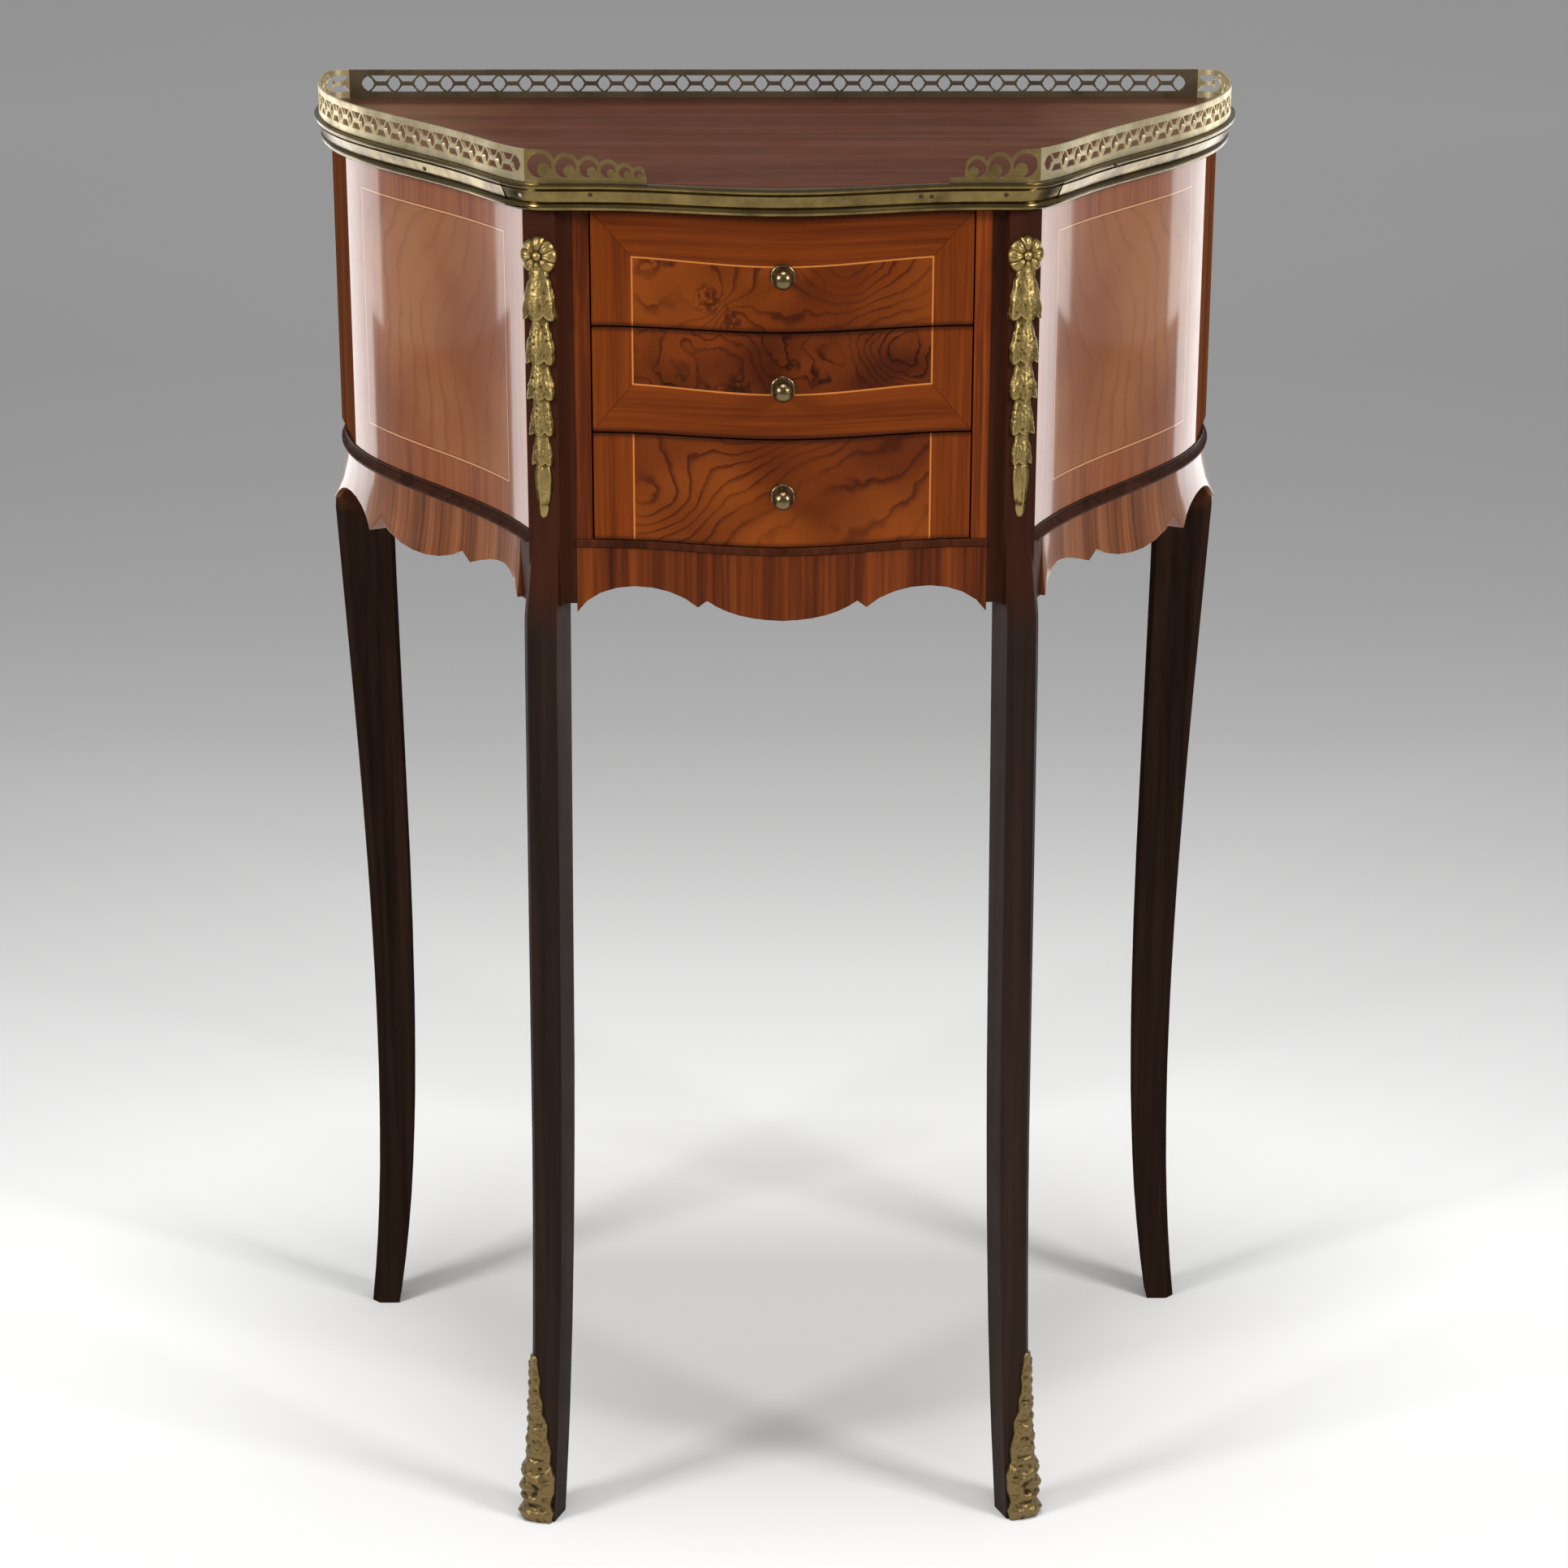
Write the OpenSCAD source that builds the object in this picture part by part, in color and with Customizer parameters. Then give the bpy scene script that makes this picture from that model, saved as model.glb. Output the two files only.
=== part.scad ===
// Small three-drawer side commode with a serpentine front, swept sides,
// four cabriole legs and a pierced brass gallery. Lengths are in millimetres,
// the front faces -Y and the feet stand on Z = 0.

/* [Case] */
// Width of the case across the front posts
front_w = 268; // [240:1:300]
// Width of the case across the back corners
back_w = 509; // [480:1:540]
// Depth of the case from the front posts to the back
case_d = 290; // [270:1:320]
// Depth of the straight part of the side at the back corner
back_post_d = 35; // [28:1:42]
// Width of the back corner post
back_post_w = 28; // [24:1:34]
// How far the serpentine front bows out at its middle
bow = 18.5; // [6:0.5:26]
// Sideways reach of the side curve's front handle
side_front_x = 39.5; // [30:0.5:50]
// Backward reach of the side curve's front handle
side_front_y = 101; // [80:1:120]
// Sideways reach of the side curve's back handle
side_back_x = 4.75; // [0:0.25:12]
// Forward reach of the side curve's back handle
side_back_y = 113.5; // [90:0.5:130]
// Thickness of the curved side panels
panel_t = 10; // [7:0.5:13]
// Thickness of the flat back panel
back_t = 8; // [5:0.5:12]
// Thickness of the upright cheeks beside the drawers
cheek_t = 8; // [6:0.5:10]
// Width of the front corner post as seen from the front
post_front_w = 25; // [23:0.5:30]
// Width of the veneered stile beside the drawers
stile_w = 9; // [6:0.5:10]
// Depth of the veneered stile
stile_d = 16; // [12:1:20]

/* [Heights] */
// Height of the bottom of the lowest drawer opening
case_base_z = 583; // [540:1:620]
// Height of the top drawer front
drawer_top_h = 59.8; // [50:0.1:70]
// Height of the middle drawer front
drawer_middle_h = 55.6; // [48:0.1:70]
// Height of the bottom drawer front
drawer_bottom_h = 57.4; // [48:0.1:70]
// Depth of the aprons below the case base
apron_h = 40; // [32:0.5:48]
// Rise of the scalloped apron edge
scallop_h = 15; // [6:0.5:18]

/* [Top] */
// Thickness of the top board
top_t = 15; // [12:0.5:20]
// Overhang of the top board behind the case
top_back = 4; // [0:0.5:8]
// Reach of the edge moulding's lower bead beyond the case
lip_low = 6; // [4:0.5:9]
// Reach of the edge moulding's upper bead beyond the case
lip_high = 12; // [10:0.5:16]

/* [Gallery] */
// Height of the pierced gallery
gallery_h = 16.5; // [12:0.5:22]
// Thickness of the pierced brass strip
gallery_t = 1.6; // [1:0.1:2.2]
// Distance of the gallery in from the upper bead
gallery_set = 3; // [2:0.25:5]
// Length of one repeat of the pierced pattern
pierce_pitch = 15.4; // [14:0.2:18]
// Height of the lozenge opening
lozenge_h = 9; // [7:0.25:10]
// Width of the lozenge opening
lozenge_w = 7.4; // [5:0.2:8]
// Width of the bars between openings
bar_w = 2.2; // [1.5:0.1:3]
// Length of the openwork scroll at the front left corner
scroll_left_l = 63; // [44:1:68]
// Length of the openwork scroll at the front right corner
scroll_right_l = 47; // [44:1:68]
// Height of the solid rail along the top of the gallery
rim_h = 2.4; // [1.5:0.1:3.5]
// Radius of the gallery's back corners
gallery_corner_r = 14; // [8:1:24]

/* [Legs] */
// Turn of the front posts and legs towards the sides, in degrees
cant = 22; // [14:1:30]
// Width of the square front post
post_w = 18; // [16:0.5:20]
// Width of the front leg at the foot
foot_w = 17; // [14:0.5:19]
// Sideways kick of the front foot
foot_kick = 10; // [4:0.5:14]
// Width of the bevel down the outer arris of each front leg
front_bevel = 4; // [2:0.25:6]
// Width of the bevel down the outer arris of each back leg
back_bevel = 7; // [3:0.25:8]
// Width of the back foot
back_foot_w = 17.5; // [14:0.5:22]
// Reach of the back knee beyond the case side
knee_out = 10; // [4:0.5:14]

/* [Drawers] */
// Clearance between moving drawers and the case
drawer_gap = 0.8; // [0.5:0.1:1.2]
// Thickness of the drawer fronts
drawer_front_t = 12; // [9:0.5:15]
// Thickness of the drawer sides and backs
drawer_side_t = 7; // [5:0.5:9]
// Thickness of the drawer bottoms
drawer_floor_t = 4; // [3:0.5:6]
// Thickness of the dust boards between drawers
dust_t = 5; // [4:0.5:7]
// Diameter of the knobs
knob_d = 11; // [8:0.5:14]
// Diameter of the round plates behind the knobs
knob_plate_d = 13.4; // [12:0.1:18]
// Diameter of the threaded shank through each drawer front
shank_d = 4; // [3:0.1:5]

/* [Bronze mounts] */
// Diameter of the rosette at the head of each chute
rosette_d = 20.5; // [16:0.5:22]
// Height of one chute from rosette to tip
chute_h = 151; // [130:1:155]
// Width of the widest husk of a chute
husk_w = 17.6; // [12:0.2:19]
// Width of the narrowest husk of a chute
husk_end_w = 10.4; // [8:0.2:12]
// Height of the leaf sabots on the front feet
sabot_h = 98; // [70:1:110]
// Thickness of the cast sabot leaves
sabot_t = 1.8; // [1.2:0.1:2.4]

/* [Hidden] */
$fn = 48;

// Finishes
rosewood = "#8a3f1c";
burl = "#a5653a";
dark_wood = "#38211b";
pine = "#c9a26d";
brass = "#a08a4e";

// Front of the case. The stile faces stand a little behind the post arris
stile_set = 2;
drawer_out = 0.5;
knob_reach = 13.6;
opening_half = front_w / 2 - post_front_w - stile_w;
drawer_half = opening_half - drawer_gap;
front_reach = stile_set + drawer_out + bow + knob_reach;
back_reach = case_d + top_back;
to_centre = (front_reach - back_reach) / 2;

// Heights
runner_gap = 0.3;
bottom_drawer_z = case_base_z + runner_gap;
middle_drawer_z = bottom_drawer_z + drawer_bottom_h + drawer_gap;
top_drawer_z = middle_drawer_z + drawer_middle_h + drawer_gap;
case_top_z = top_drawer_z + drawer_top_h + drawer_gap;
top_z = case_top_z + top_t;
apron_low_z = case_base_z - apron_h;
cove_h = 7;
cove_z = case_base_z - 1.5;
ledge_h = 4;
ledge_z = case_base_z - ledge_h;
board_t = 6;
case_back_y = case_d - back_t;

// Side curve of the right half, from the front post to the back corner
side_steps = 24;
side_ctrl = [
    [front_w / 2, 0],
    [front_w / 2 + side_front_x, side_front_y],
    [back_w / 2 - side_back_x, case_d - back_post_d - side_back_y],
    [back_w / 2, case_d - back_post_d]
];

// Point and direction of a cubic curve
function curve_at(c, t) = pow(1 - t, 3) * c[0] + 3 * t * pow(1 - t, 2) * c[1]
    + 3 * t * t * (1 - t) * c[2] + pow(t, 3) * c[3];
function curve_dir(c, t) = pow(1 - t, 2) * (c[1] - c[0]) + 2 * t * (1 - t) * (c[2] - c[1])
    + t * t * (c[3] - c[2]);
function outward(d) = [d[1], -d[0]] / norm(d);
function curve_points(c, n) = [for (i = [0:n]) curve_at(c, i / n)];
function reversed(list) = [for (i = [len(list) - 1:-1:0]) list[i]];
function mirrored(list) = [for (p = reversed(list)) [-p[0], p[1]]];

// The side curve moved outward by some distance. Past its last step it runs
// straight back along the back post
over_steps = 3;
last_step = side_steps + over_steps;
function side_at(i, out) = i > side_steps
    ? [back_w / 2 + out, case_d - back_post_d * (last_step - i) / over_steps]
    : curve_at(side_ctrl, i / side_steps) + out * outward(curve_dir(side_ctrl, i / side_steps));
function side_line(out, first = 0, last = side_steps) = [for (i = [first:last]) side_at(i, out)];

// The bowed front line moved forward by some distance
front_steps = 14;
function bell(x) = abs(x) < opening_half ? 0.5 + 0.5 * cos(180 * x / opening_half) : 0;
function front_y(x, out) = -stile_set - out - bow * bell(x);
function front_line(half, out) = [for (i = [-front_steps:front_steps])
    [half * i / front_steps, front_y(half * i / front_steps, out)]];

// Outline of the top at some distance outside the case, right half, front to back
corner_first = 3;
corner_steps = 6;
shoulder_x = front_w / 2 - 12;
function corner_ctrl(out) = let (
        start = [shoulder_x, front_y(shoulder_x, out)],
        end = side_at(corner_first, out),
        dir = curve_dir(side_ctrl, corner_first / side_steps),
        meet = end - dir * (end[1] - start[1]) / dir[1])
    [start, start + (meet - start) * 0.75, end + (meet - end) * 0.75, end];
function front_half(out) = [for (i = [0:front_steps])
    [shoulder_x * i / front_steps, front_y(shoulder_x * i / front_steps, out)]];
function corner_half(out) = curve_points(corner_ctrl(out), corner_steps);
function side_half(out) = concat(side_line(out, corner_first + 1),
    [[back_w / 2 + out, back_reach]]);
function drop_first(list) = [for (i = [1:len(list) - 1]) list[i]];
function top_half(out) = concat(front_half(out), drop_first(corner_half(out)), side_half(out));

module place() { translate([0, to_centre, 0]) children(); }

module on_side(side) {
    mirror([side < 0 ? 1 : 0, 0, 0]) children();
}

// A smooth solid through rings of points, with flat ends
module loft(rings) {
    n = len(rings[0]);
    last = len(rings) - 1;
    polyhedron(
        points = [for (ring = rings, p = ring) p],
        faces = concat(
            [[for (j = [n - 1:-1:0]) j]],
            [for (i = [0:last - 1], j = [0:n - 1], half = [0, 1])
                let (a = i * n + j, b = i * n + (j + 1) % n, c = a + n, d = b + n)
                half == 0 ? [a, b, c] : [b, d, c]],
            [[for (j = [0:n - 1]) last * n + j]]
        ),
        convexity = 10
    );
}

// A profile of [reach, height] points carried along a set of lines.
// Each line is the path at the reach of one profile point
module carried(profile, lines) {
    loft([for (i = [0:len(lines[0]) - 1])
        [for (j = [len(profile) - 1:-1:0]) [lines[j][i][0], lines[j][i][1], profile[j][1]]]]);
}

// Top board
module top_board() {
    half = top_half(lip_low - 0.2);
    color(rosewood) place()
        translate([0, 0, case_top_z])
            linear_extrude(top_t) polygon(concat(half, mirrored(half)));
}

// Section of the brass edge as [reach, share of the board's thickness], from
// its foot round the lower bead, up the band and over the upper bead
lip_foot = lip_low - 0.2;
band_in = lip_low + 1;
moulding_section = [
    [lip_foot, 0], [lip_low + 1.2, 0], [lip_low + 2.2, 0.06], [lip_low + 2.5, 0.15],
    [lip_low + 2, 0.24], [band_in, 0.28], [band_in + 0.6, 0.33], [lip_high - 2.6, 0.56],
    [lip_high - 1.4, 0.71], [lip_high - 1.9, 0.76], [lip_high - 0.6, 0.8], [lip_high, 0.87],
    [lip_high - 0.3, 0.95], [lip_high - 1.4, 0.98], [lip_foot, 0.98]
];
moulding_profile = [for (p = moulding_section) [p[0], case_top_z + p[1] * top_t]];

// The joints between the front and side pieces lie on the round corners
joint_step = 4;
function front_piece(out) = let (
        half = concat(front_half(out), [for (i = [1:joint_step]) corner_half(out)[i]]))
    concat(mirrored(drop_first(half)), half);
function side_piece(out) = concat(
    [for (i = [joint_step:corner_steps]) corner_half(out)[i]], side_half(out));

module edge_moulding_front() {
    color(brass) place()
        carried(moulding_profile, [for (p = moulding_profile) front_piece(p[0])]);
}

module edge_moulding(side) {
    color(brass) place() on_side(side)
        carried(moulding_profile, [for (p = moulding_profile) side_piece(p[0])]);
}

// The panel ends against the back post, whose face shows beside it
panel_last = 19;

module side_panel(side) {
    line = concat(side_line(0, 0, panel_last), reversed(side_line(-panel_t, 0, panel_last)));
    color(burl) place() on_side(side)
        translate([0, 0, cove_z + cove_h])
            linear_extrude(case_top_z - cove_z - cove_h) polygon(line);
}

// Hollow strip between the panel and the apron
cove_profile = [
    [-panel_t, cove_z],
    [2.6, cove_z],
    [2.8, cove_z + 1.2],
    [0.4, cove_z + 2.4],
    [-0.6, cove_z + 4.2],
    [0.6, cove_z + 6],
    [0.6, cove_z + cove_h],
    [-panel_t, cove_z + cove_h]
];

module side_cove(side) {
    color(dark_wood) place() on_side(side)
        carried(cove_profile, [for (p = cove_profile) side_line(p[0], 0, last_step)]);
}

// Half of the scalloped edge as [share of the half width, share of the rise]
scallop_arch = curve_points([[0, 0], [0.1, 1.25], [0.45, 1.25], [0.59, 0.35]], 8);
scallop_belly = curve_points([[0.635, 0.62], [0.72, 0.2], [0.84, 0.02], [1, 0]], 6);
scallop_half = concat(scallop_arch, scallop_belly);
scallop = concat(
    [for (p = scallop_half) [p[0] / 2, p[1]]],
    [for (p = drop_first(reversed(scallop_half))) [1 - p[0] / 2, p[1]]]
);

// The side apron's edge as [share of the side curve, share of the rise]: an
// arch, a drooping belly, and a wide arch over the back leg
over_share = over_steps / side_steps;
side_scallop = concat(
    curve_points([[0.042, 0.3], [0.08, 1.7], [0.15, 1.25], [0.243, 0.66]], 7),
    curve_points([[0.276, 0.95], [0.36, 0.15], [0.5, 0], [0.615, 0.9]], 7),
    curve_points([[0.65, 0.3], [0.72, 1.5], [0.88, 1.5], [0.96, 0.12]], 8),
    [[1, 0], [1 + over_share / 2, 0], [1 + over_share, 0]]
);

// The apron swells outward towards the knees, and thins to a lap over the
// back leg
apron_front_out = 3;
apron_start = 1;
lap_t = 4;
lap_from = 0.72;
lap_to = 0.9;
apron_depths = [0, 0.25, 0.5, 0.75, 1];
function apron_out(share, depth) = 0.4 + (apron_front_out + (knee_out - apron_front_out)
    * min(share, 1)) * pow(depth, 1.6);
function apron_inner(share, depth) = apron_out(share, depth)
    - lookup(share, [[lap_from, panel_t], [lap_to, lap_t]]);

// One ring of the apron between two reaches, from its top to its edge
function apron_ring(share, low, outer, inner) = let (
        zs = [for (d = apron_depths) cove_z - d * (cove_z - low)],
        i = share * side_steps)
    concat(
        [for (z = reversed(zs)) let (q = side_at(i, outer(share, (cove_z - z) / apron_h)))
            [q[0], q[1], z]],
        [for (z = zs) let (q = side_at(i, inner(share, (cove_z - z) / apron_h)))
            [q[0], q[1], z]]);

module side_apron(side) {
    color(rosewood) place() on_side(side)
        loft([for (p = side_scallop)
            apron_ring(p[0], apron_low_z + p[1] * scallop_h,
                function (share, depth) apron_out(share, depth),
                function (share, depth) apron_inner(share, depth))]);
}

// Seat that the legs are notched to, so that the apron and the cove lap them
seat_gap = 0.2;
module lap_seat(first, last) {
    loft([for (i = [first:last])
        apron_ring(i / side_steps, apron_low_z,
            function (share, depth) 2 * knee_out + 5,
            function (share, depth) apron_inner(share, depth) - seat_gap)]);
    translate([0, 0, cove_z - seat_gap]) linear_extrude(cove_h + seat_gap)
        polygon(concat(side_line(knee_out, first, last),
            reversed(side_line(-panel_t - seat_gap, first, last))));
}

// Front rail with its scalloped edge, cut from a bowed strip
apron_half = opening_half + stile_w;
apron_t = 12;

module bowed_strip(half, out, t) {
    polygon(concat(front_line(half, out), reversed(front_line(half, out - t))));
}

module front_apron() {
    edge = [for (p = scallop) [apron_half * (2 * p[0] - 1), apron_low_z + p[1] * scallop_h]];
    color(rosewood) place()
        intersection() {
            translate([0, 0, apron_low_z - 1])
                linear_extrude(apron_h + 1) bowed_strip(apron_half, 0, apron_t);
            rotate([90, 0, 0]) translate([0, 0, -40])
                linear_extrude(100)
                    polygon(concat(edge, [[apron_half, ledge_z], [-apron_half, ledge_z]]));
        }
}

module front_ledge() {
    color(dark_wood) place()
        translate([0, 0, ledge_z])
            linear_extrude(ledge_h) bowed_strip(apron_half, 1.2, apron_t + 1.2);
}

// Front leg. Both faces are sawn to one template, so the leg kicks out
// along its outer arris. Templates are [reach, height] curves
post_centre = [front_w / 2 - post_w / 2 * (cos(cant) + sin(cant)),
    post_w / 2 * (cos(cant) - sin(cant))];
front_knee_z = apron_low_z + 5;
leg_levels = 26;
blank_top = 62;
front_flare = 42;
front_outer = concat(
    [[post_w / 2, front_knee_z + blank_top]],
    curve_points([[post_w / 2, front_knee_z + front_flare],
        [post_w / 2, front_knee_z + front_flare * 0.65],
        [post_w / 2 + 2, front_knee_z + front_flare * 0.35],
        [post_w / 2 + 3.3, front_knee_z]], 5),
    curve_points([[post_w / 2 + 3.3, front_knee_z], [post_w / 2 + 5.2, front_knee_z * 0.78],
        [post_w / 2 + 2.5, front_knee_z * 0.36], [foot_w / 2 + foot_kick, 0]], 16)
);
front_inner = curve_points([[0.7 - post_w / 2, front_knee_z + blank_top],
    [3.2 - post_w / 2, front_knee_z * 0.78], [0.5 - post_w / 2, front_knee_z * 0.36],
    [foot_kick - foot_w / 2, 0]], 16);

function by_height(line) = [for (p = reversed(line)) [p[1], p[0]]];
function levels_to(z) = [for (i = [0:leg_levels]) z * i / leg_levels];

// A bandsaw cut through a blank, between two template lines
saw_reach = case_d + back_w;
module sawn(low_side, high_side) {
    translate([0, saw_reach / 2, 0]) rotate([90, 0, 0]) linear_extrude(saw_reach)
        polygon(concat(high_side, reversed(low_side)));
}

module front_leg_blank(zs, swell = [[0, 0]], inset = 0) {
    outer = [for (z = zs) [lookup(z, by_height(front_outer)) + lookup(z, swell), z]];
    inner = [for (z = zs) [lookup(z, by_height(front_inner)) - inset, z]];
    arris = [for (p = outer) [p[0] * sqrt(2) - front_bevel / 2, p[1]]];
    root = [for (p = inner) [p[0] * sqrt(2) + 1, p[1]]];
    intersection() {
        sawn(inner, outer);
        rotate([0, 0, -90]) sawn(inner, outer);
        rotate([0, 0, -45]) sawn(root, arris);
    }
}

// The post behind the canted face, which the panel and stile are glued to.
// Below the panel it also has a narrow face beside the apron
return_d = 5;
post_back = 3;
module front_post_outline(edge) {
    face_in = post_centre + post_w / 2 * [-cos(cant) + sin(cant), -sin(cant) - cos(cant)];
    return_end = face_in + return_d * [-sin(cant), cos(cant)];
    last = edge[len(edge) - 1];
    polygon(concat(
        [face_in, [front_w / 2, 0]],
        edge,
        [[last[0] - post_w / 2, last[1]],
            [opening_half + stile_w, stile_d - stile_set],
            [opening_half + stile_w, -stile_set],
            [return_end[0], -stile_set]]
    ));
}
post_edge = side_line(-panel_t - seat_gap, 0, post_back);
ear_edge = concat([side_at(apron_start, 0.3)],
    side_line(-panel_t - seat_gap, apron_start, post_back));
blank_levels = levels_to(front_knee_z + blank_top);

module front_leg(side) {
    ear_top = cove_z - seat_gap;
    color(dark_wood) place() on_side(side) {
        translate([0, 0, ear_top]) linear_extrude(case_top_z - ear_top)
            front_post_outline(post_edge);
        translate([0, 0, front_knee_z]) linear_extrude(ear_top - front_knee_z)
            front_post_outline(ear_edge);
        difference() {
            translate([post_centre[0], post_centre[1], 0]) rotate([0, 0, cant])
                front_leg_blank(blank_levels);
            lap_seat(apron_start, 5);
            translate([0, 0, ear_top]) linear_extrude(case_top_z) panel_seat();
        }
    }
}

// The panel and cove are glued to the post as far as its outer arris
module panel_seat() {
    polygon(concat(side_line(knee_out, 0, 4), reversed(side_line(-panel_t - seat_gap, 0, 4))));
}

// Back leg, curved to the side and flat behind
back_knee_z = apron_low_z - 2;
foot_out = 6;
back_outer = concat(
    curve_points([[back_w / 2, back_knee_z + blank_top],
        [back_w / 2, back_knee_z + front_flare * 0.9],
        [back_w / 2 + knee_out - 2, back_knee_z + front_flare * 0.6],
        [back_w / 2 + knee_out, back_knee_z]], 5),
    curve_points([[back_w / 2 + knee_out, back_knee_z], [back_w / 2 + 4, back_knee_z * 0.74],
        [back_w / 2 - 13.5, back_knee_z * 0.28], [back_w / 2 + foot_out, 0]], 16)
);
back_inner = curve_points([[back_w / 2 - back_post_w + 4, back_knee_z + blank_top],
    [back_w / 2 - back_post_w + 9.5, back_knee_z * 0.8],
    [back_w / 2 - back_post_w - 11.5, back_knee_z * 0.3],
    [back_w / 2 + foot_out - back_foot_w, 0]], 16);
back_front = curve_points([[case_d - back_post_d, back_knee_z + blank_top],
    [case_d - back_post_d * 0.52, back_knee_z * 0.8],
    [case_d - back_post_d * 0.46, back_knee_z * 0.28],
    [case_d - back_post_d * 0.57, 0]], 16);

// The back post is a board whose face carries on the curve of the panel and
// stands a little proud of it at the corner
back_proud = 3.5;
back_ease = 3;
module back_core_outline() {
    polygon([
        [back_w / 2 - back_post_w, case_back_y],
        [back_w / 2 - back_post_w, case_d],
        [back_w / 2 + back_proud - back_ease, case_d],
        [back_w / 2 + back_proud, case_d - back_ease],
        [back_w / 2 + back_proud, case_d - back_post_d * 0.8],
        [back_w / 2 - panel_t, case_d - back_post_d],
        [back_w / 2 - back_post_w, case_d - back_post_d]
    ]);
}

module back_post_outline() {
    back_core_outline();
    polygon(concat(
        [side_at(panel_last, -panel_t), side_at(panel_last, 0)],
        [[back_w / 2 + back_proud, case_d - back_post_d * 0.8]],
        reversed(side_line(-panel_t, panel_last + 1))
    ));
}

module back_leg(side) {
    top = back_knee_z + blank_top;
    zs = levels_to(top);
    outer = [for (z = zs) [lookup(z, by_height(back_outer)), z]];
    inner = [for (z = zs) [lookup(z, by_height(back_inner)), z]];
    front = [for (z = zs) [-lookup(z, by_height(back_front)), z]];
    behind = [for (z = zs) [2 * (1 - z / top) - case_d, z]];
    arris = [for (i = [0:len(zs) - 1])
        [(outer[i][0] + front[i][0]) / sqrt(2) - back_bevel / 2, zs[i]]];
    root = [for (z = zs) [-case_d, z]];
    panel_z = cove_z + cove_h;
    color(dark_wood) place() on_side(side) {
        translate([0, 0, panel_z]) linear_extrude(case_top_z - panel_z)
            back_post_outline();
        difference() {
            union() {
                translate([0, 0, apron_low_z + 20]) linear_extrude(panel_z - apron_low_z - 20)
                    back_core_outline();
                intersection() {
                    sawn(inner, outer);
                    rotate([0, 0, -90]) sawn(behind, front);
                    rotate([0, 0, -45]) sawn(root, arris);
                }
            }
            lap_seat(panel_last, last_step);
        }
    }
}

module stile(side) {
    color(rosewood) place() on_side(side)
        translate([opening_half, -stile_set, case_base_z])
            cube([stile_w, stile_d, case_top_z - case_base_z]);
}

module cheek(side) {
    color(pine) place() on_side(side)
        translate([opening_half, stile_d - stile_set, case_base_z])
            cube([cheek_t, case_back_y - stile_d + stile_set, case_top_z - case_base_z]);
}

module back_panel() {
    half = back_w / 2 - back_post_w;
    color(pine) place()
        translate([-half, case_back_y, case_base_z - 20])
            cube([2 * half, back_t, case_top_z - case_base_z + 20]);
}

// Bottom board, notched round the posts
module bottom_board() {
    inner = side_line(-panel_t);
    half = concat([[0, front_y(0, -apron_t)], [apron_half, front_y(0, -apron_t) + bow],
        [apron_half, stile_d - stile_set]], [for (i = [3:side_steps]) inner[i]],
        [[inner[side_steps][0], case_back_y], [0, case_back_y]]);
    color(pine) place()
        translate([0, 0, case_base_z - board_t])
            linear_extrude(board_t) difference() {
                polygon(concat(half, mirrored(half)));
                bowed_strip(apron_half + 1, 2, apron_t + 2);
                for (side = [-1, 1]) on_side(side) {
                    front_post_outline(post_edge);
                    back_core_outline();
                }
            }
}

module dust_board(z) {
    color(pine) place()
        translate([0, 0, z - dust_t / 2 - drawer_gap / 2])
            linear_extrude(dust_t) polygon(concat(
                front_line(opening_half, drawer_out - drawer_front_t - drawer_gap),
                [[opening_half, case_back_y], [-opening_half, case_back_y]]));
}

// Drawers. Each front laps the dust boards above and below it
box_ease = 0.5;
box_half = drawer_half - box_ease;
box_front_y = front_y(opening_half, drawer_out - drawer_front_t);
box_stop = 12;
box_back_y = case_back_y - box_stop;
box_inner = box_half - drawer_side_t;
box_headroom = 3;

// Front z, front height, box z and box top of each drawer
function over_board(z) = z + (dust_t - drawer_gap) / 2;
function under_board(z) = z - (dust_t + drawer_gap) / 2;
bottom_drawer = [bottom_drawer_z, drawer_bottom_h, bottom_drawer_z,
    under_board(middle_drawer_z) - box_headroom];
middle_drawer = [middle_drawer_z, drawer_middle_h, over_board(middle_drawer_z) + runner_gap,
    under_board(top_drawer_z) - box_headroom];
top_drawer = [top_drawer_z, drawer_top_h, over_board(top_drawer_z) + runner_gap,
    case_top_z - box_headroom];
function knob_z(drawer) = drawer[0] + drawer[1] / 2 - 1;

module drawer_front(drawer) {
    color(burl) place() difference() {
        translate([0, 0, drawer[0]]) linear_extrude(drawer[1])
            bowed_strip(drawer_half, drawer_out, drawer_front_t);
        translate([0, 20, knob_z(drawer)]) rotate([90, 0, 0])
            cylinder(d = shank_d + 0.3, h = 80);
    }
}

module drawer_side(drawer, side) {
    color(pine) place() on_side(side)
        translate([box_inner, box_front_y, drawer[2]])
            cube([drawer_side_t, box_back_y - box_front_y, drawer[3] - drawer[2]]);
}

module drawer_back(drawer) {
    low = drawer[2] + drawer_floor_t;
    color(pine) place()
        translate([-box_inner, box_back_y - drawer_side_t, low])
            cube([2 * box_inner, drawer_side_t, drawer[3] - low]);
}

module drawer_floor(drawer) {
    color(pine) place()
        translate([0, 0, drawer[2]]) linear_extrude(drawer_floor_t) polygon(concat(
            front_line(box_inner, drawer_out - drawer_front_t),
            [[box_inner, box_back_y], [-box_inner, box_back_y]]));
}

// Round plate and turned knob on a shank with its nut
plate_t = 1.4;

module at_drawer_face(drawer) {
    place() translate([0, front_y(0, drawer_out), knob_z(drawer)]) rotate([90, 0, 0]) children();
}

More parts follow.
